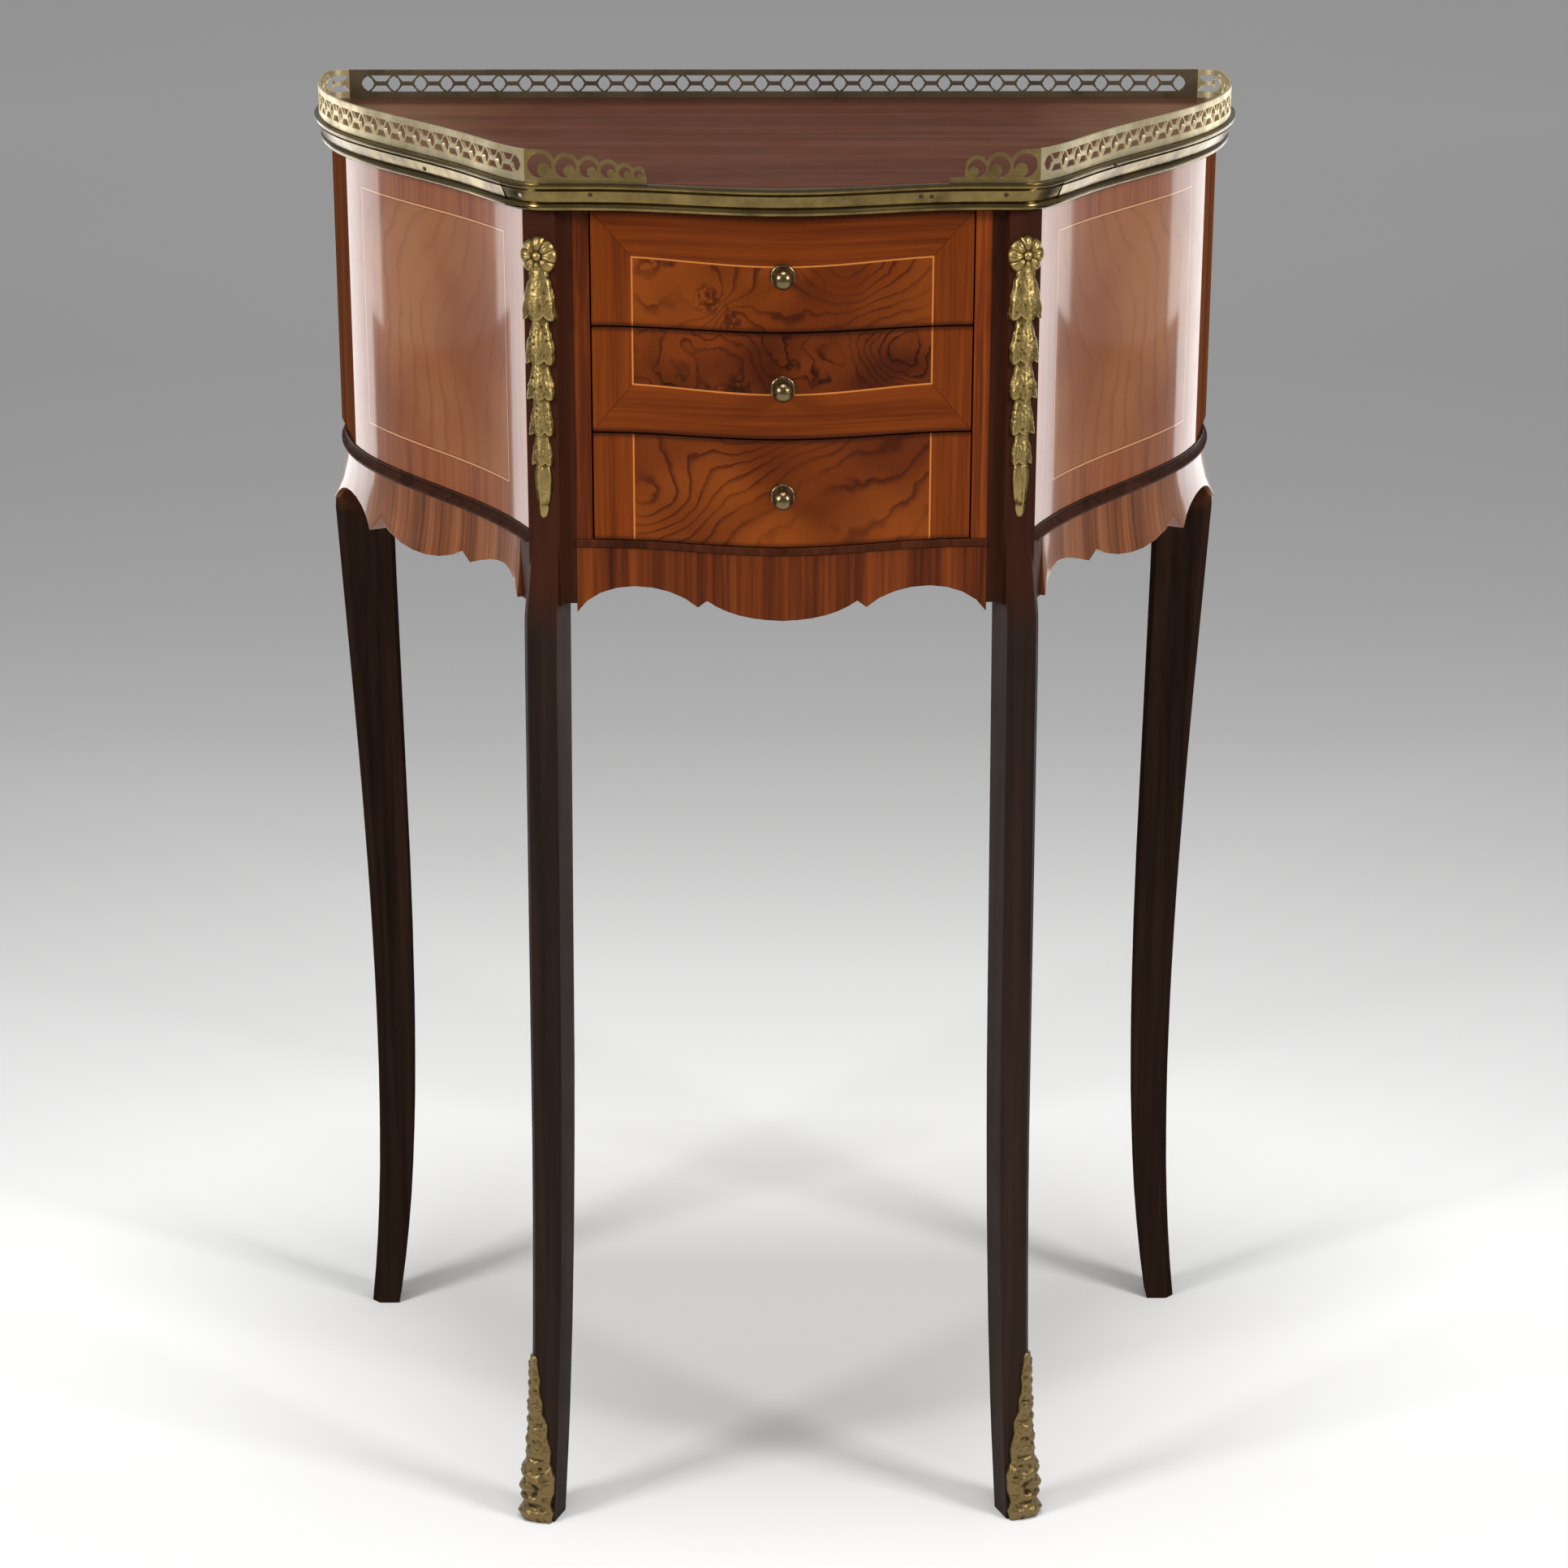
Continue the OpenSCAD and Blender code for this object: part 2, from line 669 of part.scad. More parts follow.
module knob_plate(drawer) {
    r = knob_plate_d / 2;
    color(brass) at_drawer_face(drawer) rotate_extrude() polygon([
        [shank_d / 2 + 0.15, 0], [r, 0], [r, 0.6], [r - 0.6, plate_t],
        [r - 1.6, plate_t * 0.8], [shank_d / 2 + 0.15, plate_t * 0.8]]);
}

module knob(drawer) {
    r = knob_d / 2;
    neck = shank_d / 2 + 0.6;
    color(brass) at_drawer_face(drawer) {
        rotate_extrude() polygon(concat(
            [[0, plate_t], [neck + 1.4, plate_t], [neck, plate_t + 1.4],
                [neck, knob_reach - 2 * r + 2.2]],
            [for (a = [-50:20:90]) [r * cos(a), knob_reach - r + r * sin(a)]]));
        translate([0, 0, -drawer_front_t - 5]) cylinder(d = shank_d, h = drawer_front_t + 7);
        translate([0, 0, -drawer_front_t - 3.5]) cylinder(d = shank_d + 4, h = 3, $fn = 6);
    }
}

// Pierced gallery. The strip follows the edge of the top, and the openings
// are cut square to it at even steps along its length
gallery_out = lip_high - gallery_set;
foot_rail_h = (gallery_h - rim_h - lozenge_h) * 0.7;
open_z = foot_rail_h + lozenge_h / 2 + 0.4;

gallery_back_y = back_reach - 0.6;
gallery_turn_steps = 6;
gallery_corner = [back_w / 2 + gallery_out - gallery_corner_r, gallery_back_y - gallery_corner_r];
function back_turn(inset) = [for (i = [0:gallery_turn_steps])
    let (a = 90 * i / gallery_turn_steps)
    gallery_corner + (gallery_corner_r - inset) * [cos(a), sin(a)]];
scroll_step = 2;
function gallery_path(inset = 0) = concat(
    [for (i = [scroll_step:corner_steps]) corner_half(gallery_out - inset)[i]],
    side_line(gallery_out - inset, corner_first + 1), back_turn(inset));
function run_to(path, i) = i == 0 ? 0 : run_to(path, i - 1) + norm(path[i] - path[i - 1]);
function runs(path) = [for (i = [0:len(path) - 1]) run_to(path, i)];
function along(path, marks, s) = [
    lookup(s, [for (i = [0:len(path) - 1]) [marks[i], path[i][0]]]),
    lookup(s, [for (i = [0:len(path) - 1]) [marks[i], path[i][1]]])
];

module lozenge() {
    w = lozenge_w / 2;
    h = lozenge_h / 2;
    polygon([[w, 0], [w * 0.66, h * 0.58], [0, h], [-w * 0.66, h * 0.58],
        [-w, 0], [-w * 0.66, -h * 0.58], [0, -h], [w * 0.66, -h * 0.58]]);
}

// One of the two small openings between lozenges
module trapezoid() {
    wide = pierce_pitch / 2 - bar_w * 0.7;
    narrow = wide - 2.6;
    high = lozenge_h / 2 + 0.2;
    low = bar_w * 0.55;
    polygon([[-wide, high], [wide, high], [narrow, low], [-narrow, low]]);
}

module openings_at_lozenge() {
    translate([0, open_z]) lozenge();
}

module openings_between() {
    translate([0, open_z]) {
        intersection() {
            trapezoid();
            between_lozenges();
        }
        mirror([0, 1]) intersection() {
            trapezoid();
            between_lozenges();
        }
    }
}

// Space left between two neighbouring lozenges and their bars
module between_lozenges() {
    reach = pierce_pitch / 2;
    w = lozenge_w / 2 + bar_w;
    h = lozenge_h / 2 + bar_w;
    polygon([[-reach, h], [reach, h], [reach - w * 0.25, h * 0.75],
        [reach - w, 0], [-reach + w, 0], [-reach + w * 0.25, h * 0.75]]);
}

module gallery_side(side) {
    path = gallery_path();
    marks = runs(path);
    total = marks[len(marks) - 1];
    count = floor(total / pierce_pitch);
    start = (total - count * pierce_pitch) / 2;
    color(brass) place() on_side(side)
        difference() {
            translate([0, 0, top_z]) linear_extrude(gallery_h) gallery_strip();
            for (k = [0:2 * count - 1]) {
                s = start + (k + 0.5) * pierce_pitch / 2;
                p = along(path, marks, s);
                ahead = along(path, marks, s + 1) - along(path, marks, s - 1);
                translate([p[0], p[1], top_z])
                    rotate([0, 0, atan2(ahead[1], ahead[0])])
                        rotate([90, 0, 0]) translate([0, 0, -4]) linear_extrude(8)
                            if (k % 2 == 0) openings_at_lozenge(); else openings_between();
            }
        }
}

module gallery_strip() {
    polygon(concat(gallery_path(), reversed(gallery_path(gallery_t))));
}

module gallery_back() {
    half = gallery_corner[0];
    count = floor((2 * half - 2) / pierce_pitch);
    color(brass) place()
        difference() {
            translate([-half, gallery_back_y - gallery_t, top_z])
                cube([2 * half, gallery_t, gallery_h]);
            for (k = [0:2 * count - 2])
                translate([(k + 1 - count) * pierce_pitch / 2, gallery_back_y + 3, top_z])
                    rotate([90, 0, 0]) linear_extrude(gallery_t + 6)
                        if (k % 2 == 0) openings_at_lozenge(); else openings_between();
        }
}

// Openwork scrolls that end the gallery. Each carries the strip on round the
// corner, under a falling crest, with a row of shrinking eyes and a bud in each
scroll_wall = 1.8;
scroll_foot = 2.4;
eye_shrink = 0.13;
bud_share = 0.55;
bud_off = 0.36;
function eye_r(k) = (gallery_h - scroll_foot - scroll_wall) / 2 * (1 - eye_shrink * k);
function eye_x(k) = k == 0 ? eye_r(0) + scroll_wall
    : eye_x(k - 1) + eye_r(k - 1) + eye_r(k) + scroll_wall;
function eye_z(k) = scroll_foot + eye_r(k);
function eyes(l) = [for (k = [0:6]) if (eye_x(k) + eye_r(k) + scroll_wall < l) k];

function crest(x, l) = x < eye_x(0) ? gallery_h : max([for (k = eyes(l))
    let (reach = pow(eye_r(k) + scroll_wall, 2) - pow(x - eye_x(k), 2))
    reach > 0 ? eye_z(k) + sqrt(reach) : scroll_foot]);

module scroll_eye(r) {
    difference() {
        circle(r);
        translate([bud_off * r, -bud_off * r]) circle(bud_share * r);
    }
}

module scroll_plate(l) {
    difference() {
        polygon(concat([[0, 0], [0, gallery_h]],
            [for (x = [eye_x(0):0.75:l]) [x, crest(x, l)]], [[l, 0]]));
        for (k = eyes(l)) translate([eye_x(k), eye_z(k)]) scroll_eye(eye_r(k));
    }
}

function scroll_line(l, inset) = let (
        far = corner_half(gallery_out)[scroll_step][0] - l,
        front = reversed(front_half(gallery_out - inset)))
    concat([for (i = [scroll_step:-1:0]) corner_half(gallery_out - inset)[i]],
        [for (p = drop_first(front)) if (p[0] > far + 1) p],
        [[far, front_y(far, gallery_out - inset)]]);

module gallery_scroll(side, l) {
    color(brass) place() on_side(side)
        intersection() {
            translate([0, 0, top_z]) linear_extrude(gallery_h)
                polygon(concat(scroll_line(l, 0), reversed(scroll_line(l, gallery_t))));
            translate([corner_half(gallery_out)[scroll_step][0], 0, top_z])
                rotate([90, 0, 0]) mirror([1, 0, 0]) linear_extrude(2 * lip_high) scroll_plate(l);
        }
}

// Bronze chutes, a rosette over a chain of husks, on the canted post faces.
// The husks are turned round one axis that lies just behind the face
husk_count = 5;
chute_drop = 13.5;
chute_top_z = case_top_z - chute_drop;
chain_axis = 1;
chain_top = rosette_d * 0.8;
husk_shrink = 0.047;
tip_share = 0.23;
tip_w = 9.4;
tip_end_w = 5;
chain_h = (chute_h - chain_top) * (1 - tip_share);
function husk_run(k) = k - husk_shrink * k * (k - 1);
function husk_end(k) = chain_top + chain_h * husk_run(k) / husk_run(husk_count);
function husk_r(k) = (husk_w + (husk_end_w - husk_w) * k / (husk_count - 1)) / 2;

// Each husk is a narrow neck that flares to a lip, and the next neck comes
// out from under that lip. The last one hangs in a long blunt leaf
module husk_chain() {
    bells = [for (k = [0:husk_count - 1])
        let (r = husk_r(k), top = husk_end(k), h = husk_end(k + 1) - top)
        each [[r * 0.56, -top], [r * 0.58, -top - h * 0.34], [r * 0.8, -top - h * 0.62],
            [r, -top - h * 0.88], [r * 0.86, -top - h]]];
    tip_top = husk_end(husk_count);
    tip_h = chute_h - tip_top;
    tip = [[tip_w * 0.38, -tip_top], [tip_w / 2, -tip_top - tip_h * 0.24],
        [tip_end_w * 0.56, -tip_top - tip_h * 0.8], [tip_end_w * 0.36, -chute_h]];
    intersection() {
        translate([0, chain_axis, 0]) rotate_extrude()
            polygon(concat([[0, -chain_top]], bells, tip, [[0, -chute_h]]));
        translate([-husk_w, -husk_w, -chute_h - 1]) cube([2 * husk_w, husk_w, chute_h + 1]);
    }
}

module rosette() {
    r = rosette_d / 2;
    translate([0, 0, -r]) rotate([90, 0, 0]) rotate_extrude() polygon(concat(
        [[0, 0], [r, 0]],
        curve_points([[r, 1.2], [r, 3.4], [r * 0.6, 4.2], [r * 0.44, 3.4]], 6),
        [[r * 0.36, 4.8], [0, 5.4]]));
}

module chute(side) {
    color(brass) place() on_side(side)
        translate([post_centre[0], post_centre[1], chute_top_z]) rotate([0, 0, cant])
            translate([0, -post_w / 2, 0]) {
                rosette();
                husk_chain();
            }
}

// Leaf-shaped sabots wrapped round the outer arris of the front feet. The leaf
// swells into a scroll above the foot and a roll on the floor
sabot_swell = [[0, sabot_t + 1.6], [5, sabot_t + 2.4], [11, sabot_t + 0.8],
    [22, sabot_t + 2.6], [30, sabot_t + 2.2], [40, sabot_t + 0.4], [sabot_h, sabot_t]];
sabot_edge = [[10, 0], [10.6, 0.06], [9.2, 0.11], [10.6, 0.19], [10.9, 0.29], [9.2, 0.37],
    [9.6, 0.44], [7.4, 0.53], [7, 0.6], [4.8, 0.67], [5, 0.75], [3.6, 0.81], [3.7, 0.9],
    [2.6, 0.97], [1, 1]];

module sabot(side) {
    zs = [for (i = [0:20]) (sabot_h + 4) * i / 20];
    half = [for (p = sabot_edge) [p[0], p[1] * sabot_h]];
    color(brass) place() on_side(side)
        translate([post_centre[0], post_centre[1], 0]) rotate([0, 0, cant])
            difference() {
                intersection() {
                    front_leg_blank(zs, sabot_swell);
                    rotate([90, 0, 45]) linear_extrude(3 * foot_w)
                        polygon(concat(half, mirrored(half)));
                }
                front_leg_blank(blank_levels, inset = 1);
            }
}

top_board();
edge_moulding_front();
edge_moulding(-1);  // edge_moulding_left
edge_moulding(1);  // edge_moulding_right
gallery_back();
gallery_side(-1);  // gallery_left
gallery_side(1);  // gallery_right
gallery_scroll(-1, scroll_left_l);  // gallery_scroll_left
gallery_scroll(1, scroll_right_l);  // gallery_scroll_right
side_panel(-1);  // side_panel_left
side_panel(1);  // side_panel_right
side_cove(-1);  // side_cove_left
side_cove(1);  // side_cove_right
side_apron(-1);  // side_apron_left
side_apron(1);  // side_apron_right
front_apron();
front_ledge();
front_leg(-1);  // front_leg_left
front_leg(1);  // front_leg_right
back_leg(-1);  // back_leg_left
back_leg(1);  // back_leg_right
stile(-1);  // stile_left
stile(1);  // stile_right
cheek(-1);  // cheek_left
cheek(1);  // cheek_right
back_panel();
bottom_board();
dust_board(top_drawer_z);  // dust_board_upper
dust_board(middle_drawer_z);  // dust_board_lower
chute(-1);  // chute_left
chute(1);  // chute_right
sabot(-1);  // sabot_left
sabot(1);  // sabot_right
drawer_front(top_drawer);  // drawer_top_front
drawer_side(top_drawer, -1);  // drawer_top_side_left
drawer_side(top_drawer, 1);  // drawer_top_side_right
drawer_back(top_drawer);  // drawer_top_back
drawer_floor(top_drawer);  // drawer_top_bottom
knob(top_drawer);  // drawer_top_knob
knob_plate(top_drawer);  // drawer_top_knob_plate
drawer_front(middle_drawer);  // drawer_middle_front
drawer_side(middle_drawer, -1);  // drawer_middle_side_left
drawer_side(middle_drawer, 1);  // drawer_middle_side_right
drawer_back(middle_drawer);  // drawer_middle_back
drawer_floor(middle_drawer);  // drawer_middle_bottom
knob(middle_drawer);  // drawer_middle_knob
knob_plate(middle_drawer);  // drawer_middle_knob_plate
drawer_front(bottom_drawer);  // drawer_bottom_front
drawer_side(bottom_drawer, -1);  // drawer_bottom_side_left
drawer_side(bottom_drawer, 1);  // drawer_bottom_side_right
drawer_back(bottom_drawer);  // drawer_bottom_back
drawer_floor(bottom_drawer);  // drawer_bottom_bottom
knob(bottom_drawer);  // drawer_bottom_knob
knob_plate(bottom_drawer);  // drawer_bottom_knob_plate
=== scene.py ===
import math

import bmesh
import bpy
from mathutils import Matrix, Vector, kdtree, noise
from mathutils.bvhtree import BVHTree


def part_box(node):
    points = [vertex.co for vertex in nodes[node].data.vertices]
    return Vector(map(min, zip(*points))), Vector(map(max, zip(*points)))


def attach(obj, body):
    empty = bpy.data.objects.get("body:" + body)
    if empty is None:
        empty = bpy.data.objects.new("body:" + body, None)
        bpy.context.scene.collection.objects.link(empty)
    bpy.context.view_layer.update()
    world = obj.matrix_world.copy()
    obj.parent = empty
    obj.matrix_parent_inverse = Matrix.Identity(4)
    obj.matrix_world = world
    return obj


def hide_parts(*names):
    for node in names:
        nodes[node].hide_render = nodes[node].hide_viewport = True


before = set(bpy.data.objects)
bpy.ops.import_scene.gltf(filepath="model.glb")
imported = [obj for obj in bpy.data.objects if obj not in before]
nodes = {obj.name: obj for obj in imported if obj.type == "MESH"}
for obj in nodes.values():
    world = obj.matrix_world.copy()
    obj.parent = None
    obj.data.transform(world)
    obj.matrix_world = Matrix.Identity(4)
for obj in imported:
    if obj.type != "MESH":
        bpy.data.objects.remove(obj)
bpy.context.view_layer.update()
scene = bpy.context.scene
mm = 0.001

# The front posts' outer arrises stand on this line, and the side curves start there
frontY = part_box("side_panel_right")[0].y
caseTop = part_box("side_panel_right")[1].z / mm
deg = math.radians


def at(x, y, z):
    return Vector((x * mm, frontY + y * mm, z * mm))


# Camera, floor and light

# Place in metres, angles in degrees
view = {
    "place": (-0.0319, -2.0268, 1.0842),
    "tilt": 71.39,
    "roll": -0.1,
    "turn": -0.97,
    "lens": 84.73,
    "sensor": 36,
}


def placeCamera(v):
    data = bpy.data.cameras.new("camera")
    data.lens = v["lens"]
    data.sensor_width = v["sensor"]
    camera = bpy.data.objects.new("camera", data)
    camera.location = v["place"]
    camera.rotation_euler = (deg(v["tilt"]), deg(v["roll"]), deg(v["turn"]))
    scene.collection.objects.link(camera)
    scene.camera = camera


placeCamera(view)


# Turns an sRGB hex colour to linear
def linear(code):
    channels = [int(code[i:i + 2], 16) / 255 for i in (1, 3, 5)]
    flat = [c / 12.92 if c <= 0.04045 else ((c + 0.055) / 1.055) ** 2.4 for c in channels]
    return (*flat, 1.0)


# Adds one node with its settings and returns the output that out counts to. links gives
# each socket a value or another node's output
def add(tree, kind, links=None, out=0, **settings):
    made = tree.nodes.new("ShaderNode" + kind)
    for name, value in settings.items():
        setattr(made, name, value)
    for socket, value in (links or {}).items():
        if isinstance(value, bpy.types.NodeSocket):
            tree.links.new(value, made.inputs[socket])
        else:
            made.inputs[socket].default_value = value
    return made.outputs[out] if made.outputs else made


def blank(name):
    made = bpy.data.materials.new(name)
    made.use_nodes = True
    made.node_tree.nodes.clear()
    return made, made.node_tree


# Turns a worked shape into an object with its finish
def intoObject(shape, name, finish):
    mesh = bpy.data.meshes.new(name)
    shape.to_mesh(mesh)
    shape.free()
    made = bpy.data.objects.new(name, mesh)
    scene.collection.objects.link(made)
    made.data.materials.append(finish)
    return made


# In metres and watts. greys gives the paper's grey by the distance behind the table's middle.
# The greys are set against the lamps' falloff: the paper is painted lighter where the lamps
# reach it less, so its run from white by the table to grey far behind is partly painted light
studio = {
    "floorSize": 40,
    "world": "#cfcfcf",
    "worldLight": 0.42,
    "key": {"place": (1.9, -1.35, 1.75), "size": (0.6, 0.8), "power": 40},
    "top": {"place": (0.0, -0.45, 4.0), "size": (1.2, 1.0), "power": 84},
    "board": {"place": (0.9, 1.08, 0.36), "size": (1.2, 0.72), "power": 5.8},
    "card": {"place": (0.9, 0.12, 0.25), "size": (0.94, 0.5)},
    "greys": [(-0.75, "#d8d8d8"), (-0.1, "#e0e0e0"), (0.1, "#e9e9e9"), (0.28, "#ececec"),
        (0.49, "#e2e2e2"), (0.73, "#d9d9d9"), (1.02, "#c8c8c8"), (1.37, "#bababa"),
        (1.8, "#b6b6b6"), (2.34, "#bababa"), (3.04, "#c5c5c5"), (3.98, "#dadada"),
        (5.3, "#efefef"), (6.9, "#fafafa")],
    "aim": (0, 0, 0.62),
}


# Seamless paper is matt, so it has soft shadows and no gloss
def paperFloor(greys):
    made, tree = blank("seamless paper")
    spot = add(tree, "TexCoord", out=3)
    deep = add(tree, "SeparateXYZ", {0: spot}, out=1)
    (near, front), *between, (far, back) = greys
    share = add(tree, "MapRange", {0: deep, 1: near, 2: far})
    ramp = add(tree, "ValToRGB", {0: share})
    stops = ramp.node.color_ramp.elements
    stops[0].color, stops[1].color = linear(front), linear(back)
    for distance, grey in between:
        stops.new((distance - near) / (far - near)).color = linear(grey)
    shader = add(tree, "BsdfPrincipled", {
        "Base Color": ramp, "Roughness": 0.9, "Specular IOR Level": 0.0})
    add(tree, "OutputMaterial", {"Surface": shader})
    return made


def makeFloor(p):
    shape = bmesh.new()
    bmesh.ops.create_grid(shape, x_segments=2, y_segments=2, size=p["floorSize"] / 2)
    floor = intoObject(shape, "floor", paperFloor(p["greys"]))


def softbox(name, place, size, power, aim, glossOnly=False):
    data = bpy.data.lights.new(name, "AREA")
    data.shape = "RECTANGLE"
    data.size, data.size_y = size
    data.energy = power
    lamp = bpy.data.objects.new(name, data)
    lamp.location = place
    lamp.rotation_euler = (Vector(aim) - Vector(place)).to_track_quat("-Z", "Y").to_euler()
    scene.collection.objects.link(lamp)
    if glossOnly:   # A reflector that only shows as a sheen on polished sides
        lamp.visible_diffuse = False
        lamp.visible_camera = False


# A black card beside the table, which keeps the middle of the polished sides clear
def darkCard(name, place, size):
    shape = bmesh.new()
    flat = Matrix.Translation(place) @ Matrix.Rotation(deg(90), 4, "Y") \
        @ Matrix.Diagonal((size[1] / 2, size[0] / 2, 1, 1))
    bmesh.ops.create_grid(shape, x_segments=1, y_segments=1, size=1, matrix=flat)
    made, tree = blank(name)
    matt = add(tree, "BsdfDiffuse", {"Color": linear("#050505")})
    add(tree, "OutputMaterial", {"Surface": matt})
    card = intoObject(shape, name, made)
    card.visible_camera = card.visible_diffuse = card.visible_shadow = False


def lightStudio(p):
    world = bpy.data.worlds.new("studio")
    world.use_nodes = True
    scene.world = world
    back = world.node_tree.nodes["Background"]
    back.inputs["Color"].default_value = linear(p["world"])
    back.inputs["Strength"].default_value = p["worldLight"]
    softbox("top", **p["top"], aim=p["aim"])
    board, card, key = p["board"], p["card"], p["key"]
    for hand, sense in (("left", -1), ("right", 1)):
        x, y, z = key["place"]
        softbox(hand + " key", (sense * x, y, z), key["size"], key["power"], p["aim"])
        x, y, z = board["place"]
        softbox(hand + " board", (sense * x, y, z), board["size"], board["power"], (0, y, z),
            glossOnly=True)
        x, y, z = card["place"]
        darkCard(hand + " card", (sense * x, y, z), card["size"])


scene.view_settings.view_transform = "Standard"
makeFloor(studio)
lightStudio(studio)
print("camera, floor and lights are set")


# Plan of the sides, as the case is built

# In millimetres. tail is the share that the straight stretch behind the curve takes
sidePlan = {
    "start": (134, 0), "handle1": (173.5, 101), "handle2": (249.75, 141.5), "end": (254.5, 255),
    "back": 290, "tail": 0.125, "marks": 450,
}


def sideCurve(t, p):
    start, handle1, handle2, end = (Vector(p[k]) for k in ("start", "handle1", "handle2", "end"))
    if t > 1:
        return Vector((end.x, end.y + (t - 1) / p["tail"] * (p["back"] - end.y)))
    return (1 - t) ** 3 * start + 3 * t * (1 - t) ** 2 * handle1 \
        + 3 * t * t * (1 - t) * handle2 + t ** 3 * end


# Distance along the side, so that veneer can be laid out flat
def sideRuler(p):
    count = p["marks"]
    marks = [sideCurve(i * (1 + p["tail"]) / count, p) for i in range(count + 1)]
    tree = kdtree.KDTree(len(marks))
    runs, total = [], 0.0
    for i, spot in enumerate(marks):
        total += (spot - marks[i - 1]).length if i else 0.0
        runs.append(total)
        tree.insert((spot.x, spot.y, 0), i)
    tree.balance()
    return tree, runs


sideTree, sideRuns = sideRuler(sidePlan)


# How far along the side a point of the case stands, in metres
def alongSide(co):
    spot = sideTree.find((abs(co.x) / mm, (co.y - frontY) / mm, 0))
    return sideRuns[spot[1]] * mm


# Veneers and other woods

colourMix = {"out": 2, "data_type": "RGBA"}


# Figure of a crown-cut leaf with burls: each ring darkens slowly and ends sharply.
# The rings follow a slow noise field of so many swirls to the metre, a slope across the
# leaf and a few knots. Pores are drawn 1 mm wide and 6 mm long, coarse enough to show
def burlFigure(tree, plane, look):
    placed = add(tree, "Mapping", {"Vector": plane, "Location": look["shift"]})
    slow = add(tree, "TexNoise", {
        "Vector": placed, "Scale": look["swirl"], "Detail": 1.0, "Roughness": 0.4,
        "Distortion": look["twist"]})
    quick = add(tree, "TexNoise", {
        "Vector": placed, "Scale": look["swirl"] * 4, "Detail": 2.0, "Roughness": 0.5})
    wobble = add(tree, "TexNoise", {
        "Vector": placed, "Scale": look["swirl"] * 17, "Detail": 2.0, "Roughness": 0.5})
    field = add(tree, "VectorMath", {0: plane, 1: look["slope"]}, out=1, operation="DOT_PRODUCT")
    for part, strength in ((slow, look["turns"]), (quick, look["waves"]), (wobble, look["wobble"])):
        field = add(tree, "Math", {0: part, 1: strength, 2: field}, operation="MULTIPLY_ADD")
    for x, z, reach, pull in look["knots"]:   # A knot lifts the field in a round bump
        gap = add(tree, "VectorMath", {0: plane, 1: (x * mm, 0, z * mm)}, out=1, operation="DISTANCE")
        near = add(tree, "Math", {0: gap, 1: reach * mm}, operation="DIVIDE")
        square = add(tree, "Math", {0: near, 1: near}, operation="MULTIPLY")
        minus = add(tree, "Math", {0: square, 1: -1.0}, operation="MULTIPLY")
        fall = add(tree, "Math", {0: minus}, operation="EXPONENT")
        field = add(tree, "Math", {0: fall, 1: pull, 2: field}, operation="MULTIPLY_ADD")
    ring = add(tree, "Math", {0: field}, operation="FRACT")
    rise = add(tree, "MapRange", {0: ring, 1: 0.5, 2: 0.9}, interpolation_type="SMOOTHSTEP")
    rise = add(tree, "Math", {0: rise, 1: 1.6}, operation="POWER")
    drop = add(tree, "MapRange", {0: ring, 1: 0.9, 2: 1.0, 3: 1.0, 4: 0.0})
    line = add(tree, "Math", {0: rise, 1: drop}, operation="MULTIPLY")
    # Clouds leave some stretches without lines, and shade darkens others
    cloud = add(tree, "TexNoise", {
        "Vector": placed, "Scale": look["swirl"] * 2.2, "Detail": 3, "Roughness": 0.55})
    clear = add(tree, "MapRange", {0: cloud, 1: 0.36, 2: 0.58, 3: 0.14, 4: 1.0})
    line = add(tree, "Math", {0: line, 1: clear}, operation="MULTIPLY")
    line = add(tree, "Math", {0: line, 1: look["line"]}, operation="MULTIPLY")
    shade = add(tree, "TexNoise", {
        "Vector": placed, "Scale": look["swirl"] * 1.3, "Detail": 2, "Roughness": 0.5, "W": 2.0},
        noise_dimensions="4D")
    deep = add(tree, "MapRange", {0: shade, 1: 0.4, 2: 0.62})
    light, middle, dark = (linear(look[tone]) for tone in ("light", "mid", "dark"))
    colour = add(tree, "Mix", {0: deep, 6: light, 7: middle}, **colourMix)
    colour = add(tree, "Mix", {0: line, 6: colour, 7: dark}, **colourMix)
    speck = add(tree, "TexNoise", {"Vector": plane, "Scale": 330.0, "Detail": 3})
    for x, z, reach, pull in look["knots"]:   # Dark specks lie in the heart of a small knot
        if reach >= look["largeKnot"]:
            continue
        gap = add(tree, "VectorMath", {0: plane, 1: (x * mm, 0, z * mm)}, out=1, operation="DISTANCE")
        close = add(tree, "MapRange", {
            0: gap, 1: reach * 0.3 * mm, 2: reach * 1.1 * mm, 3: 1.0, 4: 0.0})
        crowd = add(tree, "Math", {0: close, 1: 0.16, 2: speck}, operation="MULTIPLY_ADD")
        dots = add(tree, "MapRange", {0: crowd, 1: 0.58, 2: 0.66})
        close = add(tree, "Math", {0: close, 1: 0.85}, operation="MULTIPLY")
        dots = add(tree, "Math", {0: dots, 1: close}, operation="MULTIPLY")
        colour = add(tree, "Mix", {0: dots, 6: colour, 7: dark}, **colourMix)
    short = add(tree, "Mapping", {"Vector": placed, "Scale": (900, 900, 160)})
    pores = add(tree, "TexNoise", {"Vector": short, "Scale": 1.0, "Detail": 2})
    pores = add(tree, "MapRange", {0: pores, 1: 0.58, 2: 0.74})
    faint = add(tree, "Math", {0: pores, 1: 0.22}, operation="MULTIPLY")
    return add(tree, "Mix", {0: faint, 6: colour, 7: dark}, **colourMix), pores


